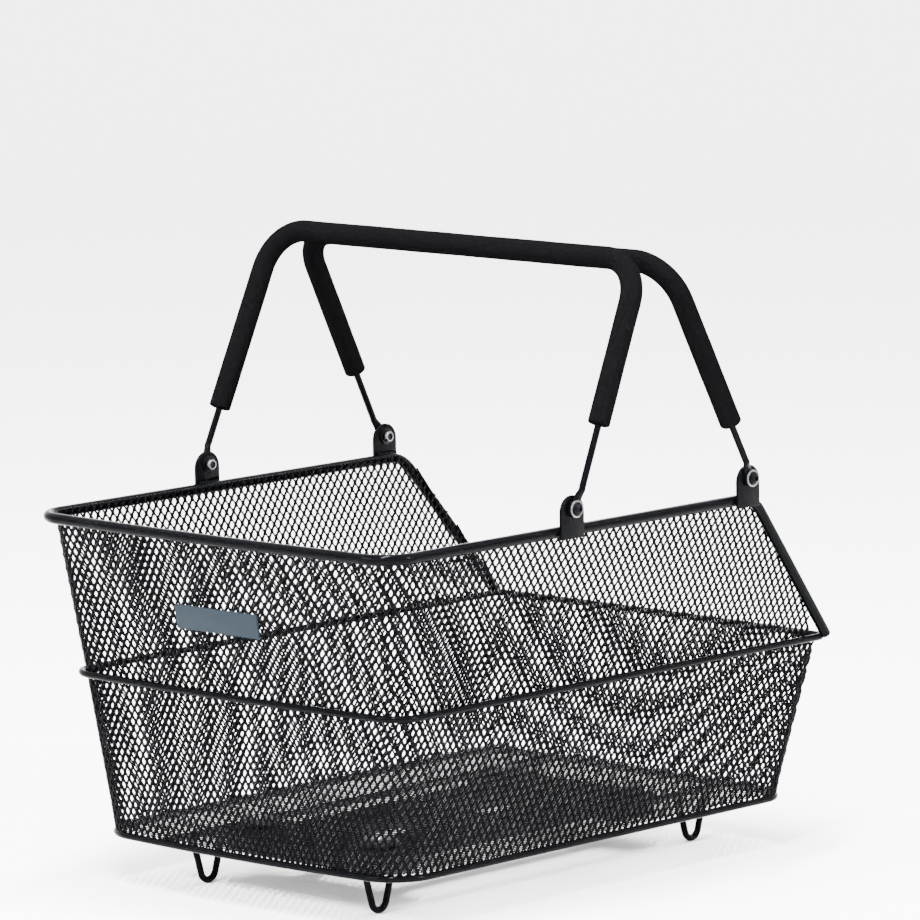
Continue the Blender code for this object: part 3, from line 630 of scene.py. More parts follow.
def new_tree(name, inputs):
    """A tree with a Geometry input and named inputs, given as (name, socket type, default)."""
    tree = bpy.data.node_groups.new(name, "GeometryNodeTree")
    tree.is_modifier = True
    tree.interface.new_socket("Geometry", in_out="INPUT", socket_type="NodeSocketGeometry")
    tree.interface.new_socket("Geometry", in_out="OUTPUT", socket_type="NodeSocketGeometry")
    for label, kind, default in inputs:
        socket = tree.interface.new_socket(label, in_out="INPUT", socket_type=kind)
        if default is not None:
            socket.default_value = default
    return tree, tree.nodes.new("NodeGroupInput"), tree.nodes.new("NodeGroupOutput")


def node(tree, kind, links=(), **values):
    """Add a node, set its properties and link (input, output socket) pairs into it."""
    made = tree.nodes.new(kind)
    for key, value in values.items():
        setattr(made, key, value)
    for slot, source in links:
        tree.links.new(source, made.inputs[slot])
    return made


def math_node(tree, operation, first, second):
    made = tree.nodes.new("ShaderNodeMath")
    made.operation = operation
    for slot, value in ((0, first), (1, second)):
        if isinstance(value, bpy.types.NodeSocket):
            tree.links.new(value, made.inputs[slot])
        else:
            made.inputs[slot].default_value = value
    return made.outputs[0]


def run_tree(tree, data, values):
    """Run a tree on a mesh with its named inputs set, and return the plain mesh it makes."""
    holder = scratch(data)
    change = holder.modifiers.new("nodes", "NODES")
    change.node_group = tree
    for item in tree.interface.items_tree:
        if item.in_out == "INPUT" and item.name in values:
            change[item.identifier] = values[item.name]
    made = evaluated_mesh(holder)
    holder.modifiers.remove(change)
    bpy.data.objects.remove(holder)
    return made


def ending(tree, geometry, material_socket, output):
    """Every tree ends in Realize Instances and Set Material."""
    realized = node(tree, "GeometryNodeRealizeInstances", [("Geometry", geometry)])
    painted = node(tree, "GeometryNodeSetMaterial",
                   [("Geometry", realized.outputs["Geometry"]), ("Material", material_socket)])
    tree.links.new(painted.outputs["Geometry"], output.inputs["Geometry"])


# ---------------------------------------------------------------- expanded metal

def rounded_wave(value, power):
    """A power of a sine or cosine that keeps its sign."""
    return math.copysign(abs(value) ** power, value)


def diamond_pair():
    """Two neighbouring diamonds of the sheet, each a ring of twisted strand round its hole."""
    pattern = settings().pattern
    half_x = pattern.pitch_across / 2
    half_y = pattern.pitch_up / 2
    quarter = pattern.points // 4
    bm = bmesh.new()
    for shift in (Vector((0.0, 0.0, 0.0)), Vector((half_x, half_y, 0.0))):
        centre = shift + Vector((half_x, half_y, 0.0))
        corners = [Vector((half_x, 0.0, 0.0)), Vector((0.0, half_y, 0.0)),
                   Vector((-half_x, 0.0, 0.0)), Vector((0.0, -half_y, 0.0))]
        top, bottom, edge = [], [], []
        for k in range(pattern.points):
            side, step = divmod(k, quarter)
            along = step / quarter
            border = corners[side].lerp(corners[(side + 1) % 4], along)
            knuckle = 1.0 + 0.18 * (1 - min(along, 1 - along) * 2)
            lift = Vector((0.0, 0.0, pattern.strand / 2 * knuckle))
            top.append(bm.verts.new(centre + border + lift))
            bottom.append(bm.verts.new(centre + border - lift))
            a = 2 * math.pi * k / pattern.points
            x = rounded_wave(math.cos(a), pattern.squareness) * pattern.hole_width / 2
            y = rounded_wave(math.sin(a), pattern.squareness) * pattern.hole_height / 2
            edge.append(bm.verts.new(centre + Vector((x, y, pattern.twist * math.sin(a)))))
        for k in range(pattern.points):
            n = (k + 1) % pattern.points
            bm.faces.new((top[k], top[n], edge[n], edge[k]))
            bm.faces.new((bottom[n], bottom[k], edge[k], edge[n]))
    data = bpy.data.meshes.new("diamond_pair")
    bm.to_mesh(data)
    bm.free()
    return data


def expanded_tree():
    """Lay diamonds in rows on a flat sheet, trim it, and wrap it on the wall by its UV map."""
    tree, given, output = new_tree("expanded_metal", [
        ("Diamonds", "NodeSocketObject", None), ("Columns", "NodeSocketInt", 10),
        ("Rows", "NodeSocketInt", 10),
        ("Pitch across", "NodeSocketFloat", 0.008), ("Pitch up", "NodeSocketFloat", 0.010),
        ("First across", "NodeSocketFloat", 0.0), ("First up", "NodeSocketFloat", 0.0),
        ("Diamond scale", "NodeSocketVector", (1.0, 1.0, 1.0)),
        ("Material", "NodeSocketMaterial", None)])
    width = math_node(tree, "MULTIPLY", math_node(tree, "SUBTRACT", given.outputs["Columns"], 1.0),
                      given.outputs["Pitch across"])
    height = math_node(tree, "MULTIPLY", math_node(tree, "SUBTRACT", given.outputs["Rows"], 1.0),
                       given.outputs["Pitch up"])
    grid = node(tree, "GeometryNodeMeshGrid",
                [("Size X", width), ("Size Y", height), ("Vertices X", given.outputs["Columns"]),
                 ("Vertices Y", given.outputs["Rows"])])
    across = math_node(tree, "ADD", math_node(tree, "MULTIPLY", width, 0.5),
                       given.outputs["First across"])
    up = math_node(tree, "ADD", math_node(tree, "MULTIPLY", height, 0.5), given.outputs["First up"])
    start = node(tree, "ShaderNodeCombineXYZ", [("X", across), ("Y", up)])
    moved = node(tree, "GeometryNodeTransform",
                 [("Geometry", grid.outputs["Mesh"]), ("Translation", start.outputs["Vector"])])
    diamonds = node(tree, "GeometryNodeObjectInfo", [("Object", given.outputs["Diamonds"])])
    laid = node(tree, "GeometryNodeInstanceOnPoints",
                [("Points", moved.outputs["Geometry"]), ("Instance", diamonds.outputs["Geometry"]),
                 ("Scale", given.outputs["Diamond scale"])])
    flat = node(tree, "GeometryNodeRealizeInstances", [("Geometry", laid.outputs["Instances"])])
    position = node(tree, "GeometryNodeInputPosition")
    apart = node(tree, "ShaderNodeSeparateXYZ", [("Vector", position.outputs["Position"])])
    spot = node(tree, "ShaderNodeCombineXYZ", [("X", apart.outputs["X"]),
                                               ("Y", apart.outputs["Y"])])
    uv = node(tree, "GeometryNodeInputNamedAttribute", data_type="FLOAT_VECTOR")
    uv.inputs["Name"].default_value = "UVMap"
    normal = node(tree, "GeometryNodeInputNormal")
    samples = []
    for field in (position.outputs["Position"], normal.outputs["Normal"]):
        samples.append(node(tree, "GeometryNodeSampleUVSurface",
                            [(0, given.outputs["Geometry"]), (1, field),
                             (2, uv.outputs["Attribute"]),
                             (3, spot.outputs["Vector"])], data_type="FLOAT_VECTOR"))
    outside = node(tree, "FunctionNodeBooleanMath", [(0, samples[0].outputs["Is Valid"])],
                   operation="NOT")
    trimmed = node(tree, "GeometryNodeDeleteGeometry",
                   [("Geometry", flat.outputs["Geometry"]), ("Selection", outside.outputs[0])])
    out = node(tree, "ShaderNodeVectorMath", [(0, samples[1].outputs[0])], operation="SCALE")
    tree.links.new(apart.outputs["Z"], out.inputs["Scale"])
    wrapped = node(tree, "ShaderNodeVectorMath", [(0, samples[0].outputs[0]), (1, out.outputs[0])],
                   operation="ADD")
    bent = node(tree, "GeometryNodeSetPosition",
                [("Geometry", trimmed.outputs["Geometry"]), ("Position", wrapped.outputs[0])])
    welded = node(tree, "GeometryNodeMergeByDistance", [("Geometry", bent.outputs["Geometry"])])
    welded.inputs["Distance"].default_value = 0.00002
    smooth = node(tree, "GeometryNodeSetShadeSmooth", [(0, welded.outputs["Geometry"])])
    ending(tree, smooth.outputs[0], given.outputs["Material"], output)
    return tree


def grid_surface(rows, spots, trim):
    """A surface through rows of points; spots holds their places on the flat sheet, in metres."""
    bm = bmesh.new()
    layer = bm.loops.layers.uv.new("UVMap")
    verts = [[bm.verts.new(p) for p in row] for row in rows]
    for r in range(len(rows) - 1):
        for c in range(len(rows[0]) - 1):
            corners = ((r, c), (r, c + 1), (r + 1, c + 1), (r + 1, c))
            face = bm.faces.new([verts[i][j] for i, j in corners])
            for loop, (i, j) in zip(face.loops, corners):
                loop[layer].uv = spots[i][j]
    trim(bm)
    for face in bm.faces:
        face.smooth = True
    data = bpy.data.meshes.new("wall_surface")
    bm.to_mesh(data)
    bm.free()
    return data


def cut_to_slope(bm):
    """Trim the walls down the rim's sloping ends, and to the middle hoop over the low end."""
    peak = drop_point(0.0)
    foot = drop_point(1.0)
    slope = (foot - peak).normalized()
    outward = Vector((0.0, -slope.z, slope.y)).normalized()
    trim_above_hoop(bm, peak + outward * EDGE_OVERLAP, outward, 0.0)
    bend = settings().tub.peak_bend
    level_end = Vector((peak.x, peak.y - bend, peak.z))
    corner = (peak + slope * bend) / 4 + peak / 2 + level_end / 4
    across = (outward + Vector((0.0, 0.0, 1.0))).normalized()
    trim_above_hoop(bm, corner + across * BEND_OVERLAP, across, 0.0)
    edge = Vector((0.0, 0.0, HOOP_Z + HOOP_OVERLAP))
    trim_above_hoop(bm, edge, Vector((0.0, 0.0, 1.0)), levels()[1]["low"] - 0.004)


def trim_above_hoop(bm, place, outward, beyond):
    """Cut away what lies outside a plane, above the middle hoop and beyond a place along Y."""
    centres = [(face, face.calc_center_median()) for face in bm.faces]
    upper = [face for face, centre in centres if centre.z > HOOP_Z and centre.y > beyond]
    parts = list({e for f in upper for e in f.edges} | {v for f in upper for v in f.verts}) + upper
    bmesh.ops.bisect_plane(bm, geom=parts, plane_co=place, plane_no=outward, clear_outer=True)


def spaced(points, count):
    """Points at even spacing along a line, its two ends kept."""
    lengths = [0.0]
    for near, far in zip(points, points[1:]):
        lengths.append(lengths[-1] + (far - near).length)
    result = []
    k = 0
    for step in range(count + 1):
        want = lengths[-1] * step / count
        while k < len(points) - 2 and lengths[k + 1] < want:
            k += 1
        share = (want - lengths[k]) / (lengths[k + 1] - lengths[k])
        result.append(points[k].lerp(points[k + 1], share))
    return result, lengths[-1]


def even_ring(z, count):
    """The wall's middle at height z: even points from the high end's middle round by the left."""
    points, high_count = ring_path(z, -SHEET / 2)
    top = high_count // 2
    bottom = high_count + (len(points) - high_count) // 2
    left, length = spaced(points[top:bottom + 1], count)
    right, _ = spaced(points[bottom:] + points[:top + 1], count)
    return left[:-1] + right[:-1], length


def smoothstep(low_edge, high_edge, value):
    t = min(1.0, max(0.0, (value - low_edge) / (high_edge - low_edge)))
    return t * t * (3 - 2 * t)


def wall_surface(count=72, bands=6):
    """The middle of the wall's thickness all the way round. Its UV map carries the stretch."""
    pattern = settings().pattern
    base, hoop, rim = [level["z"] for level in levels()]
    heights = [base + (hoop - base) * k / bands for k in range(bands)]
    heights[0] = BASE_Z
    heights += [hoop + (rim + 0.0024 - hoop) * k / bands for k in range(bands + 1)]
    rings = [even_ring(max(base, min(z, rim)), count)[0] for z in heights]
    for ring, z in zip(rings, heights):
        for point in ring:
            point.z = z
    _, half = even_ring(hoop, count)
    total = 2 * count
    order = list(range(-total // 4, total + total // 4 + 1))
    rows = [[ring[k % total] for k in order] for ring in rings]
    ups = [0.0]
    for lower, upper in zip(rings, rings[1:]):
        ups.append(ups[-1] + (upper[count // 2] - lower[count // 2]).length)
    spots = []
    for ring, up in zip(rings, ups):
        line = []
        for k in order:
            point = rings[bands][k % total]
            along = half * k / count
            lean = pattern.lean * smoothstep(0.0, 0.15, point.x)
            wave = pattern.wobble * math.sin(point.x * 47.0 + point.y * 31.0 + up * 60.0)
            sag = pattern.sag * max(0.0, point.y) ** 2
            line.append((along + lean * (up - ups[bands]) + wave, up + sag + wave))
        spots.append(line)
    high_turn = half_turn(hoop, True)
    low_turn = half_turn(hoop, False)
    places = {"high_end": (-high_turn, high_turn), "left": (high_turn, half - low_turn),
              "low_end": (half - low_turn, half + low_turn),
              "right": (half + low_turn, 2 * half - high_turn)}
    sag = pattern.sag * levels()[1]["low"] ** 2
    surface = grid_surface(rows, spots, cut_to_slope)
    return surface, places, 2 * half, ups[-1] + sag, ups[bands] + sag


def half_turn(z, at_high_end):
    """Length along the wall from an end's middle to where its corner meets the side."""
    end = "high" if at_high_end else "low"
    radius = at(z, end + "_corner")
    return at(z, "width") - radius + radius * math.pi / 2


def floor_surface():
    """The floor's middle plane, a fan of quads from the tub's outline to its centre line."""
    z = (MESH_Z + FLOOR_TOP) / 2
    outline, _ = ring_path(MESH_Z, SHEET / 2)
    bm = bmesh.new()
    layer = bm.loops.layers.uv.new("UVMap")
    face = bm.faces.new([bm.verts.new((p.x, p.y, z)) for p in outline])
    bmesh.ops.triangulate(bm, faces=[face])
    bmesh.ops.recalc_face_normals(bm, faces=bm.faces)
    for triangle in bm.faces:
        if triangle.normal.z < 0:
            triangle.normal_flip()
        for loop in triangle.loops:
            loop[layer].uv = (loop.vert.co.x, loop.vert.co.y)
    data = bpy.data.meshes.new("floor_surface")
    bm.to_mesh(data)
    bm.free()
    return data


class BASKET_OT_expanded_mesh(bpy.types.Operator):
    """Build the expanded-metal walls and floor"""
    bl_idname = "basket.expanded_mesh"
    bl_label = "Expanded mesh"

    def execute(self, context):
        pattern = settings().pattern
        diamonds = bpy.data.objects.new("diamond_pair", diamond_pair())
        context.scene.collection.objects.link(diamonds)
        tree = expanded_tree()
        surface, places, around, tall, hoop_up = wall_surface()
        columns = round(around / pattern.pitch_across)
        across = around / columns
        rows = round(tall / pattern.pitch_up)
        up = tall / rows
        material = finish("satin_black_coat")
        pieces = {"high_end": ("mesh_high_end",), "left": ("mesh_side_left",),
                  "low_end": ("mesh_low_end",), "right": ("mesh_side_right",)}
        common = {"Diamonds": diamonds, "Material": material, "Pitch across": across,
                  "Pitch up": up,
                  "Diamond scale": (across / pattern.pitch_across, up / pattern.pitch_up, 1.0)}
        for label, replaced in pieces.items():
            first = round(places[label][0] / across)
            last = round(places[label][1] / across)
            tops = rows + 2 if label != "low_end" else math.ceil(hoop_up / up) + 2
            values = {"Columns": last - first, "Rows": tops, "First across": first * across,
                      "First up": -up}
            made = run_tree(tree, surface.copy(), {**common, **values})
            keep("expanded_wall_" + label, made, "satin_black_coat", replaced=replaced)
        self.lay_floor(tree, common)
        bpy.data.objects.remove(diamonds)
        return {"FINISHED"}

    def lay_floor(self, tree, common):
        """The floor in two sheets, each under the triangle limit."""
        across = common["Pitch across"]
        up = common["Pitch up"]
        wide = math.ceil(high("mesh_floor").x / across) + 1
        long_ = math.ceil(high("mesh_floor").y / up) + 1
        scale = common["Diamond scale"]
        thin = {**common, "Diamond scale": (scale[0], scale[1], settings().pattern.floor_strand)}
        for label, first, rows in (("high", -long_, long_), ("low", 0, long_)):
            values = {"Columns": 2 * wide, "Rows": rows, "First across": -wide * across,
                      "First up": first * up}
            made = run_tree(tree, floor_surface(), {**thin, **values})
            keep("expanded_floor_" + label, made, "satin_black_coat", replaced=("mesh_floor",))


# ---------------------------------------------------------------- rim, hoops, feet

class BASKET_OT_wires(bpy.types.Operator):
    """Build the rim tube, the hoops, the runners and the feet"""
    bl_idname = "basket.wires"
    bl_label = "Rim, hoops and feet"

    def execute(self, context):
        tub = settings().tub
        coat = "gloss_black_coat"
        rim = mesh_from(swept(rim_path(), tub.rim_radius, 28))
        keep("rim", rim, coat, replaced=("rim_tube",))
        hoop, _ = ring_path(HOOP_Z, GAP + HOOP_RADIUS)
        keep("middle_hoop", mesh_from(swept(hoop, HOOP_RADIUS, 20, closed=True)), coat,
             replaced=("mid_hoop",))
        base = [Vector((p.x, p.y, BASE_Z)) for p in ring_path(MESH_Z, -SHEET / 2)[0]]
        keep("floor_hoop", mesh_from(swept(base, BASE_RADIUS, 20, closed=True)), coat,
             replaced=("base_hoop",))
        for side in ("left", "right"):
            self.runner(side, coat)
            for end in ("high", "low"):
                name = f"foot_{end}_{side}"
                keep("bent_" + name, mesh_from(swept(self.foot_points(name), WIRE_RADIUS, 18)),
                     coat,
                     replaced=(name,))
        return {"FINISHED"}

    def runner(self, side, coat):
        name = "runner_wire_" + side
        start = low(name).y
        stop = high(name).y
        x = middle(name).x
        points = [Vector((x, start + (stop - start) * k / 8, BASE_Z)) for k in range(9)]
        keep("straight_" + name, mesh_from(swept(points, WIRE_RADIUS, 18)), coat, replaced=(name,))

    def foot_points(self, name, bend=0.0075, steps=12):
        """A tapered U: straight legs from its bend up to the runner."""
        x = middle(name).x
        y = middle(name).y
        top = high(name).z
        half = thickness(name, 1) / 2 - WIRE_RADIUS
        lean = math.atan((half - bend) / (top - WIRE_RADIUS - bend))
        right = []
        for k in range(steps + 1):
            angle = -math.pi / 2 + (math.pi / 2 - lean) * k / steps
            right.append(Vector((x, y + bend * math.cos(angle),
                                 WIRE_RADIUS + bend + bend * math.sin(angle))))
        end = Vector((x, y + half, top - WIRE_RADIUS * math.sin(lean)))
        right += [right[-1].lerp(end, t) for t in (0.33, 0.66, 1.0)]
        left = [Vector((p.x, 2 * y - p.y, p.z)) for p in reversed(right[1:])]
        return left + right


# ---------------------------------------------------------------- sheet edge and welds

def bead_tree():
    """Small flattened beads at even spacing along a line."""
    tree, given, output = new_tree("weld_beads", [
        ("Spacing", "NodeSocketFloat", 0.008), ("Radius", "NodeSocketFloat", 0.0015),
        ("Shape", "NodeSocketVector", (1.0, 1.0, 1.0)), ("Material", "NodeSocketMaterial", None)])
    line = node(tree, "GeometryNodeMeshToCurve", [("Mesh", given.outputs["Geometry"])])
    even = node(tree, "GeometryNodeResampleCurve",
                [("Curve", line.outputs["Curve"]), ("Length", given.outputs["Spacing"])],
                mode="LENGTH")
    along = node(tree, "GeometryNodeInputTangent")
    aligned = node(tree, "FunctionNodeAlignRotationToVector",
                   [("Vector", along.outputs["Tangent"])],
                   axis="X")
    ball = node(tree, "GeometryNodeMeshIcoSphere", [("Radius", given.outputs["Radius"])])
    ball.inputs["Subdivisions"].default_value = 2
    laid = node(tree, "GeometryNodeInstanceOnPoints",
                [("Points", even.outputs["Curve"]), ("Instance", ball.outputs["Mesh"]),
                 ("Rotation", aligned.outputs["Rotation"]), ("Scale", given.outputs["Shape"])])
    smooth = node(tree, "GeometryNodeSetShadeSmooth", [(0, laid.outputs["Instances"])])
    ending(tree, smooth.outputs[0], given.outputs["Material"], output)
    return tree


def polyline(lines):
    """A mesh of edges only, through lists of points."""
    bm = bmesh.new()
    for points in lines:
        verts = [bm.verts.new(p) for p in points]
        for near, far in zip(verts, verts[1:]):
            bm.edges.new((near, far))
    data = bpy.data.meshes.new("line")
    bm.to_mesh(data)
    bm.free()
    return data


def inward_frames(points):
    """For each point of the rim's path: the way into the tub, and the way down the wall."""
    result = []
    for point, direction in zip(points, tangents(points, False)):
        flat = Vector((direction.x, direction.y, 0.0)).normalized()
        into = Vector((0.0, 0.0, 1.0)).cross(flat)
        if into.dot(Vector((point.x, point.y, 0.0))) > 0:
            into.negate()
        down = direction.cross(into).normalized()
        if down.z > 0:
            down.negate()
        result.append((into, down))
    return result


class BASKET_OT_sheet_edge(bpy.types.Operator):
    """Build the knuckles along the sheet's cut edge and the weld seams"""
    bl_idname = "basket.sheet_edge"
    bl_label = "Sheet edge and welds"

    def execute(self, context):
        tub = settings().tub
        points = rim_path()
        frames = inward_frames(points)
        inside = tub.rim_radius + GAP + SHEET * 0.7
        tree = bead_tree()
        line = [p + into * inside - down * 0.0022 for p, (into, down) in zip(points, frames)
                if p.z > levels()[2]["z"] - 0.0005]
        values = {"Spacing": settings().pattern.pitch_across / 2, "Radius": 0.0010,
                  "Shape": (1.45, 0.9, 0.9), "Material": finish("satin_black_coat")}
        keep("sheet_edge_knuckles", run_tree(tree, polyline([line]), values), "satin_black_coat")
        self.frame_welds(tree)
        return {"FINISHED"}

    def frame_welds(self, tree):
        """Short weld seams where brackets meet the rim and where runners and feet meet."""
        tub = settings().tub
        lines = []
        rim_z = levels()[2]["z"]
        for end, side, sign in CORNERS:
            box_low, box_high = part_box(f"bracket_{end}_{side}")
            x = sign * (levels()[2]["width"] + GAP + tub.rim_radius * 1.72)
            z = rim_z + tub.rim_radius * 0.86
            lines.append([Vector((x, box_low.y + SEAM_INSET, z)),
                          Vector((x, box_high.y - SEAM_INSET, z))])
            foot = f"foot_{end}_{side}"
            for y in (low(foot).y + WIRE_RADIUS, high(foot).y - WIRE_RADIUS):
                for dx in (-1, 1):
                    spot = middle(foot).x + dx * WIRE_RADIUS * 0.8
                    lines.append([Vector((spot, y - 0.002, high(foot).z)),
                                  Vector((spot, y + 0.002, high(foot).z))])
        values = {"Spacing": 0.0016, "Radius": 0.0013, "Shape": (1.0, 1.0, 1.0),
                  "Material": finish("gloss_black_coat")}
        keep("weld_seams", run_tree(tree, polyline(lines), values), "gloss_black_coat")


# ---------------------------------------------------------------- handles

def leg_x():
    """Distance from the middle of the basket to a leg's centre, at its pivot."""
    handles = settings().handles
    return high("bracket_high_right").x + GAP + handles.rod_radius + LEG_CLEARANCE


def handle_line(steps=14):
    """The rod's round part, upright above its pivot axis, from the right leg to the left."""
    handles = settings().handles
    corner = Vector((leg_x() - handles.lean, 0.0, handles.reach))
    pivot = Vector((leg_x(), 0.0, 0.0))
    foot = pivot.lerp(corner, handles.eye_flat / handles.reach)
    before = (foot - corner).normalized()
    after = Vector((-1.0, 0.0, 0.0))
    half = before.angle(after) / 2
    centre = corner + (before + after).normalized() * (handles.bend / math.sin(half))
    reach = handles.bend / math.tan(half)
    start = corner + before * reach - centre
    end = corner + after * reach - centre
    bend = [centre + start.slerp(end, k / steps).normalized() * handles.bend
            for k in range(steps + 1)]
    leg = [foot.lerp(bend[0], k / 10) for k in range(10)]
    half_line = leg + bend
    bar_end = bend[-1]
    bar = [Vector((bar_end.x * (1 - k / 12), 0.0, bar_end.z)) for k in range(1, 12)]
    other = [Vector((-p.x, p.y, p.z)) for p in reversed(half_line)]
    return half_line + bar + [Vector((-p.x, 0.0, p.z)) for p in reversed(bar)] + other


def tidy_line(points):
    """Drop points that repeat the one before."""
    kept = [points[0]]
    for point in points[1:]:
        if (point - kept[-1]).length > 0.0001:
            kept.append(point)
    return kept


def handle_place(name, tilt):
    """Where a handle stands at rest: on its pivot axis, leaning with its tilt."""
    return Matrix.Translation(Vector(joint(name)["pos_m"])) @ Matrix.Rotation(tilt, 4, "X")


def oval_ring(bm, centre, ahead, thick, wide, sides):
    """An oval section; thick lies in the handle's plane and wide across it."""
    beside = ahead.cross(Vector((0.0, 1.0, 0.0))).normalized()
    turn = [2 * math.pi * s / sides for s in range(sides)]
    across = Vector((0.0, 1.0, 0.0))
    return [bm.verts.new(centre + beside * (thick * math.cos(a)) + across * (wide * math.sin(a)))
            for a in turn]


def bridge(bm, near, far):
    count = len(near)
    for s in range(count):
        n = (s + 1) % count
        bm.faces.new((near[s], near[n], far[n], far[s]))


def rod_mesh(sides=24):
    """A bent rod whose ends are pressed flat into round eyes."""
    handles = settings().handles
    eye_x = high("bracket_high_right").x + GAP + handles.eye_thickness / 2
    flat = handles.eye_thickness / 2
    up = Vector((0.0, 0.0, 1.0))
    eye = []
    steps = 14
    for k in range(steps + 1):
        angle = -math.pi / 2 + 0.06 + (math.pi * 0.80) * k / steps
        eye.append((eye_x, handles.eye_radius * math.sin(angle), flat,
                    handles.eye_radius * math.cos(angle)))
    neck = handles.eye_radius + EYE_RISE
    eye.append((eye_x, neck, flat, NECK_HALF_WIDTH))
    for k in range(1, 6):
        t = k / 6
        ease = t * t * (3 - 2 * t)
        x = eye_x + (leg_x() - eye_x) * ease
        reach = neck + (handles.eye_flat - neck) * t
        thick = flat + (handles.rod_radius - flat) * ease
        wide = NECK_HALF_WIDTH + (handles.rod_radius - NECK_HALF_WIDTH) * ease
        eye.append((x, reach, thick, wide))
    line = tidy_line(handle_line())
    along = tangents(line, False)
    sections = [(Vector((x, 0.0, reach)), up, thick, wide) for x, reach, thick, wide in eye]
    sections += [(p, d, handles.rod_radius, handles.rod_radius) for p, d in zip(line, along)]
    sections += [(Vector((-x, 0.0, reach)), -up, thick, wide) for x, reach, thick,
                 wide in reversed(eye)]
    bm = bmesh.new()
    rings = [oval_ring(bm, *section, sides) for section in sections]
    for near, far in zip(rings, rings[1:]):
        bridge(bm, near, far)
    bm.faces.new(list(reversed(rings[0])))
    bm.faces.new(rings[-1])
    return mesh_from(bm, 50.0)


def waver(angle, place, seed):
    """A gentle, repeatable unevenness for a foam surface, between about -1 and 1."""
    slow = math.sin(place * 61.0 + seed) * math.cos(angle * 2 + place * 23.0)
    quick = math.sin(place * 190.0 + angle * 3 + seed * 2)
    return 0.7 * slow + 0.3 * quick


def grip_mesh(shift, seed, sides=36, rounding=0.0012):
    """A thick foam tube on the rod, its ends cut square with a worn edge."""
    handles = settings().handles
    whole = tidy_line(handle_line())
    first = handles.grip_start + shift
    last = handles.grip_start - shift
    right = [p for p in whole if p.x > 0 and p.z > first]
    left = [p for p in whole if p.x <= 0 and p.z > last]
    legs = [p for p in whole if p.x > 0 and p.z <= first]
    near = legs[-1].lerp(right[0], (first - legs[-1].z) / (right[0].z - legs[-1].z))
    others = [p for p in whole if p.x <= 0 and p.z <= last]
    far = others[0].lerp(left[-1], (last - others[0].z) / (left[-1].z - others[0].z))
    path = fine_line([near] + right + left + [far], 0.004)
    along = tangents(path, False)
    bm = bmesh.new()
    outer = []
    inner = []
    bore = handles.rod_radius + GAP
    travelled = 0.0
    count = len(path)
    for k, (point, direction) in enumerate(zip(path, along)):
        travelled += (point - path[k - 1]).length if k else 0.0
        if k in (0, count - 1):
            sign = 1 if k == 0 else -1
            steps = (3, 2, 1, 0) if k else (0, 1, 2, 3)
            for j in steps:
                a = math.pi / 2 * j / 3
                spot = point + direction * sign * rounding * (1 - math.cos(a))
                size = handles.grip_radius - rounding * (1 - math.sin(a))
                outer.append(oval_ring(bm, spot, direction, size, size, sides))
            inner.append(oval_ring(bm, point, direction, bore, bore, sides))
            continue
        ring = oval_ring(bm, point, direction, handles.grip_radius, handles.grip_radius, sides)
        for s, vert in enumerate(ring):
            wave = handles.unevenness * waver(2 * math.pi * s / sides, travelled, seed)
            vert.co += (vert.co - point).normalized() * wave
        outer.append(ring)
        inner.append(oval_ring(bm, point, direction, bore, bore, sides))
    for rings in (outer, inner):
        for one, two in zip(rings, rings[1:]):
            bridge(bm, one, two)
    bridge(bm, outer[0], inner[0])
    bridge(bm, outer[-1], inner[-1])
    return mesh_from(bm, 50.0)


def fine_line(points, step):
    """Add points so that none is further than a step from the next."""
    result = [points[0]]
    for near, far in zip(points, points[1:]):
        pieces = max(1, math.ceil((far - near).length / step))
        result += [near.lerp(far, k / pieces) for k in range(1, pieces + 1)]
    return result


class BASKET_OT_handles(bpy.types.Operator):
    """Build both handle rods and their foam grips"""
    bl_idname = "basket.handles"
    bl_label = "Handles and grips"

    def execute(self, context):
        handles = settings().handles
        for end, tilt, shift, seed in (("high", -handles.high_tilt, handles.high_shift, 1.3),
                                       ("low", handles.low_tilt, handles.low_shift, 4.1)):
            body = "handle_" + end
            place = handle_place(end + "_handle_swing", tilt)
            rod = placed(rod_mesh(), place)
            keep("bent_rod_" + end, rod, "gloss_black_coat", body, ("handle_rod_" + end,))
            grip = placed(grip_mesh(shift, seed), place)
            piece = keep("foam_grip_" + end, grip, "black_foam", body, ("grip_" + end,))
        return {"FINISHED"}


# ---------------------------------------------------------------- brackets and pivots

def plate_outline(half, bottom, crown, steps=24):
    """A straight-sided plate with a round top, as (across, up) points."""
    turn = [math.pi * k / steps for k in range(steps + 1)]
    top = [(half * math.cos(a), crown - half + half * math.sin(a)) for a in turn]
    return [(-half, bottom), (half, bottom)] + top


def extruded(outline, near, far):
    """A flat outline of (x, y) points extruded along Z."""
    bm = bmesh.new()
    bottom = [bm.verts.new((x, y, near)) for x, y in outline]
    top = [bm.verts.new((x, y, far)) for x, y in outline]
    bm.faces.new(list(reversed(bottom)))
    bm.faces.new(top)
    bridge(bm, bottom, top)
    return bm


def dome(radius, height, steps=10):
    return [(radius * math.cos(a), height * math.sin(a))
            for a in (math.pi / 2 * k / steps for k in range(steps))]


def socket_head(radius, height, recess, depth):
    """Half profile of a domed head with a round recess, from its rim to the axis."""
    skin = [(r, z) for r, z in dome(radius, height) if r > recess + 0.0002]
    lip = height * math.sqrt(max(0.0, 1 - (recess / radius) ** 2))
    return skin + [(recess + 0.0001, lip), (recess, lip - 0.0003), (recess, lip - depth),
                   (0.0, lip - depth)]


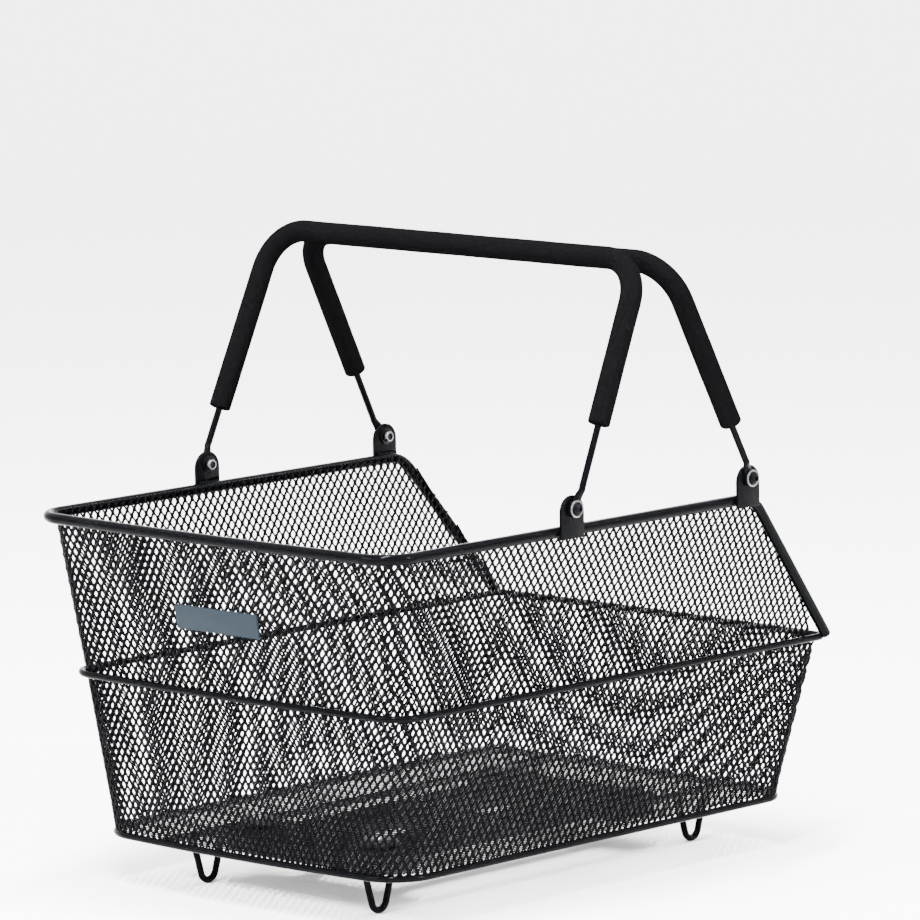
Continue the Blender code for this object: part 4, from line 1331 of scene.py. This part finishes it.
class BASKET_OT_pivots(bpy.types.Operator):
    """Build the four brackets with their bolts, washers and nuts"""
    bl_idname = "basket.pivots"
    bl_label = "Brackets and pivots"

    def execute(self, context):
        pivots = {"high": joint("high_handle_swing")["pos_m"],
                  "low": joint("low_handle_swing")["pos_m"]}
        for end, side, sign in CORNERS:
            label = f"{end}_{side}"
            _, y, z = pivots[end]
            self.bracket(label, y, z)
            self.bolt(label, sign, y, z)
            self.ring("outer_washer_" + label, "bright_steel", sign, y, z, 0.00018)
            self.ring("inner_washer_" + label, "dark_steel", sign, y, z, 0.00018)
            self.ring("pivot_nut_" + label, "bright_steel", sign, y, z, 0.0005)
        return {"FINISHED"}

    def bracket(self, label, y, z):
        name = "bracket_" + label
        box_low, box_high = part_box(name)
        half = thickness(name, 1) / 2
        outline = plate_outline(half, box_low.z - z, box_high.z - z)
        data = bevelled(extruded(outline, -thickness(name, 0) / 2, thickness(name, 0) / 2), 0.0005,
                        3)
        turn = Matrix(((0, 0, 1, 0), (1, 0, 0, 0), (0, 1, 0, 0), (0, 0, 0, 1)))
        placed(data, Matrix.Translation((middle(name).x, y, z)) @ turn)
        keep("rounded_" + name, data, "gloss_black_coat", replaced=(name,))

    def bolt(self, label, sign, y, z):
        name = "pivot_bolt_" + label
        tip = max(abs(low(name).x), abs(high(name).x))
        back = min(abs(low(name).x), abs(high(name).x))
        radius = thickness(name, 1) / 2
        head = tip - BOLT_HEAD
        profile = [(0.0, back - head), (SHANK - ROUND_OFF, back - head),
                   (SHANK, back - head + ROUND_OFF), (SHANK, 0.0), (radius - ROUND_OFF, 0.0),
                   (radius, 0.0002)]
        profile += [(r, h + 0.0002) for r, h in socket_head(radius, BOLT_HEAD - 0.0002, 0.0018,
                                                            0.0012)[1:]]
        data = placed(mesh_from(turned(profile), 35.0), out_along_x(sign, sign * head, y, z))
        keep("domed_" + name, data, "dark_steel", replaced=(name,))

    def ring(self, name, slot, sign, y, z, edge):
        """A washer or a sleeve nut with rounded edges, in the place the frame gives it."""
        radius = thickness(name, 1) / 2
        long_ = thickness(name, 0)
        profile = [(BORE, 0.0), (radius - edge, 0.0), (radius - edge * 0.3, edge * 0.3),
                   (radius, edge), (radius, long_ - edge),
                   (radius - edge * 0.3, long_ - edge * 0.3), (radius - edge, long_),
                   (BORE, long_), (BORE, 0.0)]
        inner = min(abs(low(name).x), abs(high(name).x))
        data = placed(mesh_from(turned(profile), 50.0), out_along_x(sign, sign * inner, y, z))
        keep("turned_" + name, data, slot, replaced=(name,))


# ---------------------------------------------------------------- badge

class BASKET_OT_badge(bpy.types.Operator):
    """Build the blank badge plate and its backing strip"""
    bl_idname = "basket.badge"
    bl_label = "Badge"

    def execute(self, context):
        slope = math.atan((levels()[2]["high"] - levels()[1]["high"]) / (levels()[2]["z"] - HOOP_Z))
        for name, slot, corner in (("badge_plate", "badge_grey", 0.0014),
                                   ("badge_backing", "black_plastic", 0.0020)):
            tall = 0.0178 if name == "badge_plate" else 0.010
            outline = rounded_rectangle(thickness(name, 0) / 2, tall / 2, corner)
            data = bevelled(extruded(outline, -0.0009, 0.0009), 0.0004, 3)
            upright = Matrix.Rotation(math.pi / 2, 4, "X")
            place = Matrix.Translation(middle(name)) @ Matrix.Rotation(slope, 4, "X") @ upright
            keep("blank_" + name, placed(data, place), slot, replaced=(name,))
        return {"FINISHED"}


def rounded_rectangle(half_x, half_y, radius, steps=6):
    points = []
    for cx, cy, start in ((half_x - radius, half_y - radius, 0.0),
                          (radius - half_x, half_y - radius, 0.5),
                          (radius - half_x, radius - half_y, 1.0),
                          (half_x - radius, radius - half_y, 1.5)):
        for k in range(steps + 1):
            a = math.pi * (start + 0.5 * k / steps)
            points.append((cx + radius * math.cos(a), cy + radius * math.sin(a)))
    return points


# ---------------------------------------------------------------- adapter plate

def rounded_corners(corners, radius, steps=6):
    """Round every corner of a closed outline of (x, y) points."""
    points = []
    count = len(corners)
    for k in range(count):
        here = Vector(corners[k])
        before = (Vector(corners[k - 1]) - here).normalized()
        after = (Vector(corners[(k + 1) % count]) - here).normalized()
        half = before.angle(after) / 2
        reach = radius / math.tan(half)
        centre = here + (before + after).normalized() * (radius / math.sin(half))
        start = here + before * reach - centre
        end = here + after * reach - centre
        for step in range(steps + 1):
            arm = start.slerp(end, step / steps).normalized() * radius
            points.append(tuple(centre + arm))
    return points


def solid(bm):
    """A scratch object of a closed bmesh, to be carved or to carve with."""
    bmesh.ops.recalc_face_normals(bm, faces=bm.faces)
    data = bpy.data.meshes.new("solid")
    bm.to_mesh(data)
    bm.free()
    return scratch(data)


def block(corner_low, corner_high):
    bm = bmesh.new()
    bmesh.ops.create_cube(bm, size=1.0)
    size = Vector(corner_high) - Vector(corner_low)
    bmesh.ops.scale(bm, vec=size, verts=bm.verts)
    bmesh.ops.translate(bm, vec=(Vector(corner_high) + Vector(corner_low)) / 2, verts=bm.verts)
    return solid(bm)


def carved(body, cutters, smooth, edge=None):
    """The mesh of a solid with cutters taken out and its edges rounded. Clears all of them away."""
    for cutter in cutters:
        change = body.modifiers.new("cut", "BOOLEAN")
        change.operation = "DIFFERENCE"
        change.solver = "EXACT"
        change.object = cutter
    if edge:
        rounding = body.modifiers.new("edge", "BEVEL")
        rounding.width = edge
        rounding.segments = 2
        rounding.limit_method = "ANGLE"
    data = evaluated_mesh(body)
    for thing in [body] + cutters:
        bpy.data.objects.remove(thing)
    data.shade_smooth()
    data.set_sharp_from_angle(angle=math.radians(smooth))
    return data


class BASKET_OT_adapter(bpy.types.Operator):
    """Build the adapter plate, its clamp discs, screws and latch slide"""
    bl_idname = "basket.adapter"
    bl_label = "Adapter plate"

    rail: FloatProperty(name="Rail width", description="Across both rails", default=0.104,
                        unit="LENGTH")
    neck: FloatProperty(name="End length", description="Length of each wide end", default=0.044,
                        unit="LENGTH")
    window_x: FloatProperty(name="Window width", description="Across a window", default=0.068,
                            unit="LENGTH")
    window_y: FloatProperty(name="Window length", description="Along a window", default=0.088,
                            unit="LENGTH")
    window_at: FloatProperty(name="Window place", description="Plate's middle to a window's middle",
                             default=0.056, unit="LENGTH")

    def execute(self, context):
        bottom = low("adapter_plate").z
        top = high("adapter_plate").z
        end = high("adapter_plate").x
        half = high("adapter_plate").y
        rail = self.rail / 2
        neck = half - self.neck
        corners = [(-end, -half), (end, -half), (end, -neck), (rail, -neck), (rail, neck),
                   (end, neck),
                   (end, half), (-end, half), (-end, neck), (-rail, neck), (-rail, -neck),
                   (-end, -neck)]
        plate = solid(extruded(rounded_corners(corners, 0.007), bottom, top))
        cutters = []
        for sign in (-1, 1):
            near = sign * self.window_at - self.window_y / 2
            far = near + self.window_y
            wide = self.window_x / 2
            hole = [(-wide, near), (wide, near), (wide, far), (-wide, far)]
            cutters.append(solid(extruded(rounded_corners(hole, 0.004), bottom - 0.002,
                                          top + 0.002)))
        cutters.append(self.pocket())
        cutters += self.grooves(rail, neck)
        data = carved(plate, cutters, 40, edge=0.0006)
        keep("moulded_adapter_plate", data, "black_plastic", replaced=("adapter_plate",))
        self.discs_and_screws()
        self.latch()
        return {"FINISHED"}

    def pocket(self):
        slide_low, slide_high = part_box("latch_slide")
        room = Vector((GAP, 0.0, GAP))
        return block(slide_low - room - Vector((0.0, 0.010, 0.0)),
                          slide_high + room + Vector((0.0, 0.0053, 0.0)))

    def grooves(self, rail, neck):
        """Lightening pockets in the underside of both wide ends, and a groove along each rail."""
        bottom = low("adapter_plate").z
        made = []
        for sign in (-1, 1):
            for x in (-0.062, -0.040, 0.040, 0.062):
                y = sign * (neck + self.neck / 2)
                made.append(block((x - 0.008, y - 0.015, bottom - 0.001),
                                  (x + 0.008, y + 0.015, bottom + 0.004)))
            x = sign * (rail + self.window_x / 2) / 2
            made.append(block((x - 0.003, -neck + 0.012, bottom - 0.001),
                              (x + 0.003, neck - 0.012, bottom + 0.003)))
        return made

    def discs_and_screws(self):
        for number in range(1, 5):
            disc = f"clamp_disc_{number}"
            place = middle(disc)
            base = low(disc).z
            tall = thickness(disc, 2)
            wide = thickness(disc, 0) / 2
            dish = tall - 0.0016
            profile = [(BORE, 0.0), (wide - ROUND_OFF, 0.0), (wide, ROUND_OFF), (wide, 0.0012),
                       (wide * 0.97, 0.0019), (wide * 0.80, tall - ROUND_OFF), (wide * 0.77, tall),
                       (DISH_RIM + ROUND_OFF, tall), (DISH_RIM, tall - ROUND_OFF),
                       (DISH_RIM, dish), (BORE, dish), (BORE, 0.0)]
            data = mesh_from(turned(profile, 64), 32.0)
            data = self.finger_notches(data, wide, tall)
            placed(data, Matrix.Translation((place.x, place.y, base)))
            keep("dished_" + disc, data, "black_plastic", replaced=(disc,))
            self.cross_screw(f"clamp_screw_{number}", place)

    def finger_notches(self, data, wide, tall):
        """Six shallow notches round a disc's edge, to turn it by."""
        cutters = []
        for k in range(6):
            angle = math.pi / 3 * k
            bm = turned([(0.0, -0.002), (NOTCH, -0.002), (NOTCH, tall + 0.002),
                         (0.0, tall + 0.002)], 20)
            bmesh.ops.translate(bm, vec=(math.cos(angle) * (wide + 0.0012),
                                         math.sin(angle) * (wide + 0.0012), 0),
                                verts=bm.verts)
            cutters.append(solid(bm))
        return carved(scratch(data), cutters, 32)

    def cross_screw(self, name, place):
        """A domed screw whose head has a cross recess."""
        bottom = low(name).z
        top = high(name).z
        radius = thickness(name, 0) / 2
        head = top - bottom - SCREW_HEAD
        skin = [(r, head + h) for r, h in dome(radius, SCREW_HEAD, 12)]
        profile = [(0.0, 0.0), (0.0022, 0.0), (0.0025, 0.0004),
                   (0.0025, head)] + skin + [(0.0, head + SCREW_HEAD)]
        screw = solid(turned(profile, 40))
        cutters = []
        for turn in (0.35, 0.35 + math.pi / 2):
            bm = bmesh.new()
            bmesh.ops.create_cube(bm, size=1.0)
            bmesh.ops.scale(bm, vec=(0.0052, 0.0010, 0.0032), verts=bm.verts)
            bmesh.ops.rotate(bm, verts=bm.verts, cent=(0, 0, 0),
                             matrix=Matrix.Rotation(turn, 3, "Z"))
            bmesh.ops.translate(bm, vec=(0, 0, head + SCREW_HEAD), verts=bm.verts)
            cutters.append(solid(bm))
        data = placed(carved(screw, cutters, 32), Matrix.Translation((place.x, place.y, bottom)))
        keep("cross_" + name, data, "bright_steel", replaced=(name,))

    def latch(self):
        """The slide, with grip ridges across its front."""
        slide_low, slide_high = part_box("latch_slide")
        slide = block(slide_low, slide_high)
        cutters = []
        for k in range(4):
            y = slide_low.y + 0.003 + 0.003 * k
            cutters.append(block((slide_low.x - 0.001, y, slide_high.z - 0.0006),
                                      (slide_high.x + 0.001, y + 0.0012, slide_high.z + 0.001)))
        data = carved(slide, cutters, 40, edge=0.0003)
        keep("ridged_latch_slide", data, "black_plastic", "latch", ("latch_slide",))


# ---------------------------------------------------------------- stage

class BASKET_OT_stage(bpy.types.Operator):
    """Set up the camera, the lights and a plain pale floor"""
    bl_idname = "basket.stage"
    bl_label = "Stage"

    def execute(self, context):
        self.camera(context)
        self.backdrop(context)
        self.lights(context)
        return {"FINISHED"}

    def camera(self, context):
        stage = settings().stage
        a, e = stage.azimuth, stage.elevation
        back = Vector((math.sin(a) * math.cos(e), -math.cos(a) * math.cos(e), math.sin(e)))
        level = Vector((math.cos(a), math.sin(a), 0.0))
        up = back.cross(level)
        right = level * math.cos(stage.roll) + up * math.sin(stage.roll)
        top = up * math.cos(stage.roll) - level * math.sin(stage.roll)
        data = bpy.data.cameras.new("studio_camera")
        data.lens = stage.lens
        data.sensor_width = 36.0
        data.clip_end = 50.0
        camera = bpy.data.objects.new("studio_camera", data)
        context.scene.collection.objects.link(camera)
        place = Matrix((right, top, back)).transposed().to_4x4()
        place.translation = Vector(stage.target) + back * stage.distance
        camera.matrix_world = place
        context.scene.camera = camera

    def backdrop(self, context):
        """A floor that sweeps up into a backdrop all the way round, so that no horizon shows."""
        stage = settings().stage
        profile = [(0.0, 0.0), (4.5, 0.0)]
        for k in range(1, 17):
            a = math.pi / 2 * k / 16
            profile.append((4.5 + 3.0 * math.sin(a), 3.0 - 3.0 * math.cos(a)))
        profile.append((7.5, 6.0))
        bm = turned(profile, 96)
        for face in bm.faces:
            face.smooth = True
        data = bpy.data.meshes.new("studio_floor")
        bm.to_mesh(data)
        bm.free()
        data.flip_normals()
        material, shader = new_material("studio_paper", stage.floor, 0.9)
        shader.inputs["Specular IOR Level"].default_value = 0.1
        data.materials.append(material)
        floor = bpy.data.objects.new("studio_floor", data)
        context.scene.collection.objects.link(floor)

    def lights(self, context):
        world = bpy.data.worlds.new("studio_sky")
        world.use_nodes = True
        background = world.node_tree.nodes["Background"]
        background.inputs["Color"].default_value = (1.0, 1.0, 1.0, 1.0)
        background.inputs["Strength"].default_value = settings().stage.sky
        context.scene.world = world
        self.area(context, "overhead_strip", (0.3, -0.6, 2.4), (0.0, 0.0, 0.2), (0.16, 2.2), 420.0)
        self.area(context, "front_strip", (-0.9, -3.2, 2.0), (0.0, 0.0, 0.2), (1.8, 0.12), 300.0)
        self.area(context, "right_strip", (3.2, 0.9, 1.9), (0.0, 0.0, 0.2), (0.12, 1.6), 280.0)

    def area(self, context, name, place, aim, size, power):
        data = bpy.data.lights.new(name, "AREA")
        data.shape = "RECTANGLE"
        data.size, data.size_y = size
        data.energy = power
        light = bpy.data.objects.new(name, data)
        context.scene.collection.objects.link(light)
        light.location = place
        light.rotation_euler = (Vector(aim) - Vector(place)).to_track_quat("-Z", "Y").to_euler()


# ---------------------------------------------------------------- panel and registration

class BASKET_PT_looks(bpy.types.Panel):
    """Lists the steps that build the basket"""
    bl_idname = "BASKET_PT_looks"
    bl_label = "Carrier basket"
    bl_space_type = "VIEW_3D"
    bl_region_type = "UI"
    bl_category = "Basket"

    def draw(self, context):
        for step in STEPS:
            self.layout.operator(step.bl_idname)
        for group in ("tub", "pattern", "handles", "finishes", "stage"):
            box = self.layout.box()
            owner = getattr(context.scene.basket_looks, group)
            for key in owner.__annotations__:
                box.prop(owner, key)


STEPS = [BASKET_OT_stage, BASKET_OT_expanded_mesh, BASKET_OT_wires, BASKET_OT_sheet_edge,
         BASKET_OT_handles,
         BASKET_OT_pivots, BASKET_OT_badge, BASKET_OT_adapter]
CLASSES = [TubShape, MeshPattern, HandleShape, Finishes, StageSetup, BasketLooks, *STEPS,
           BASKET_PT_looks]


def register():
    for cls in CLASSES:
        bpy.utils.register_class(cls)
    bpy.types.Scene.basket_looks = PointerProperty(type=BasketLooks)


def unregister():
    del bpy.types.Scene.basket_looks
    for cls in reversed(CLASSES):
        bpy.utils.unregister_class(cls)


def main():
    register()
    for step in (bpy.ops.basket.stage, bpy.ops.basket.expanded_mesh, bpy.ops.basket.wires,
                 bpy.ops.basket.sheet_edge, bpy.ops.basket.handles, bpy.ops.basket.pivots,
                 bpy.ops.basket.badge, bpy.ops.basket.adapter):
        step()


if __name__ == "__main__":
    main()
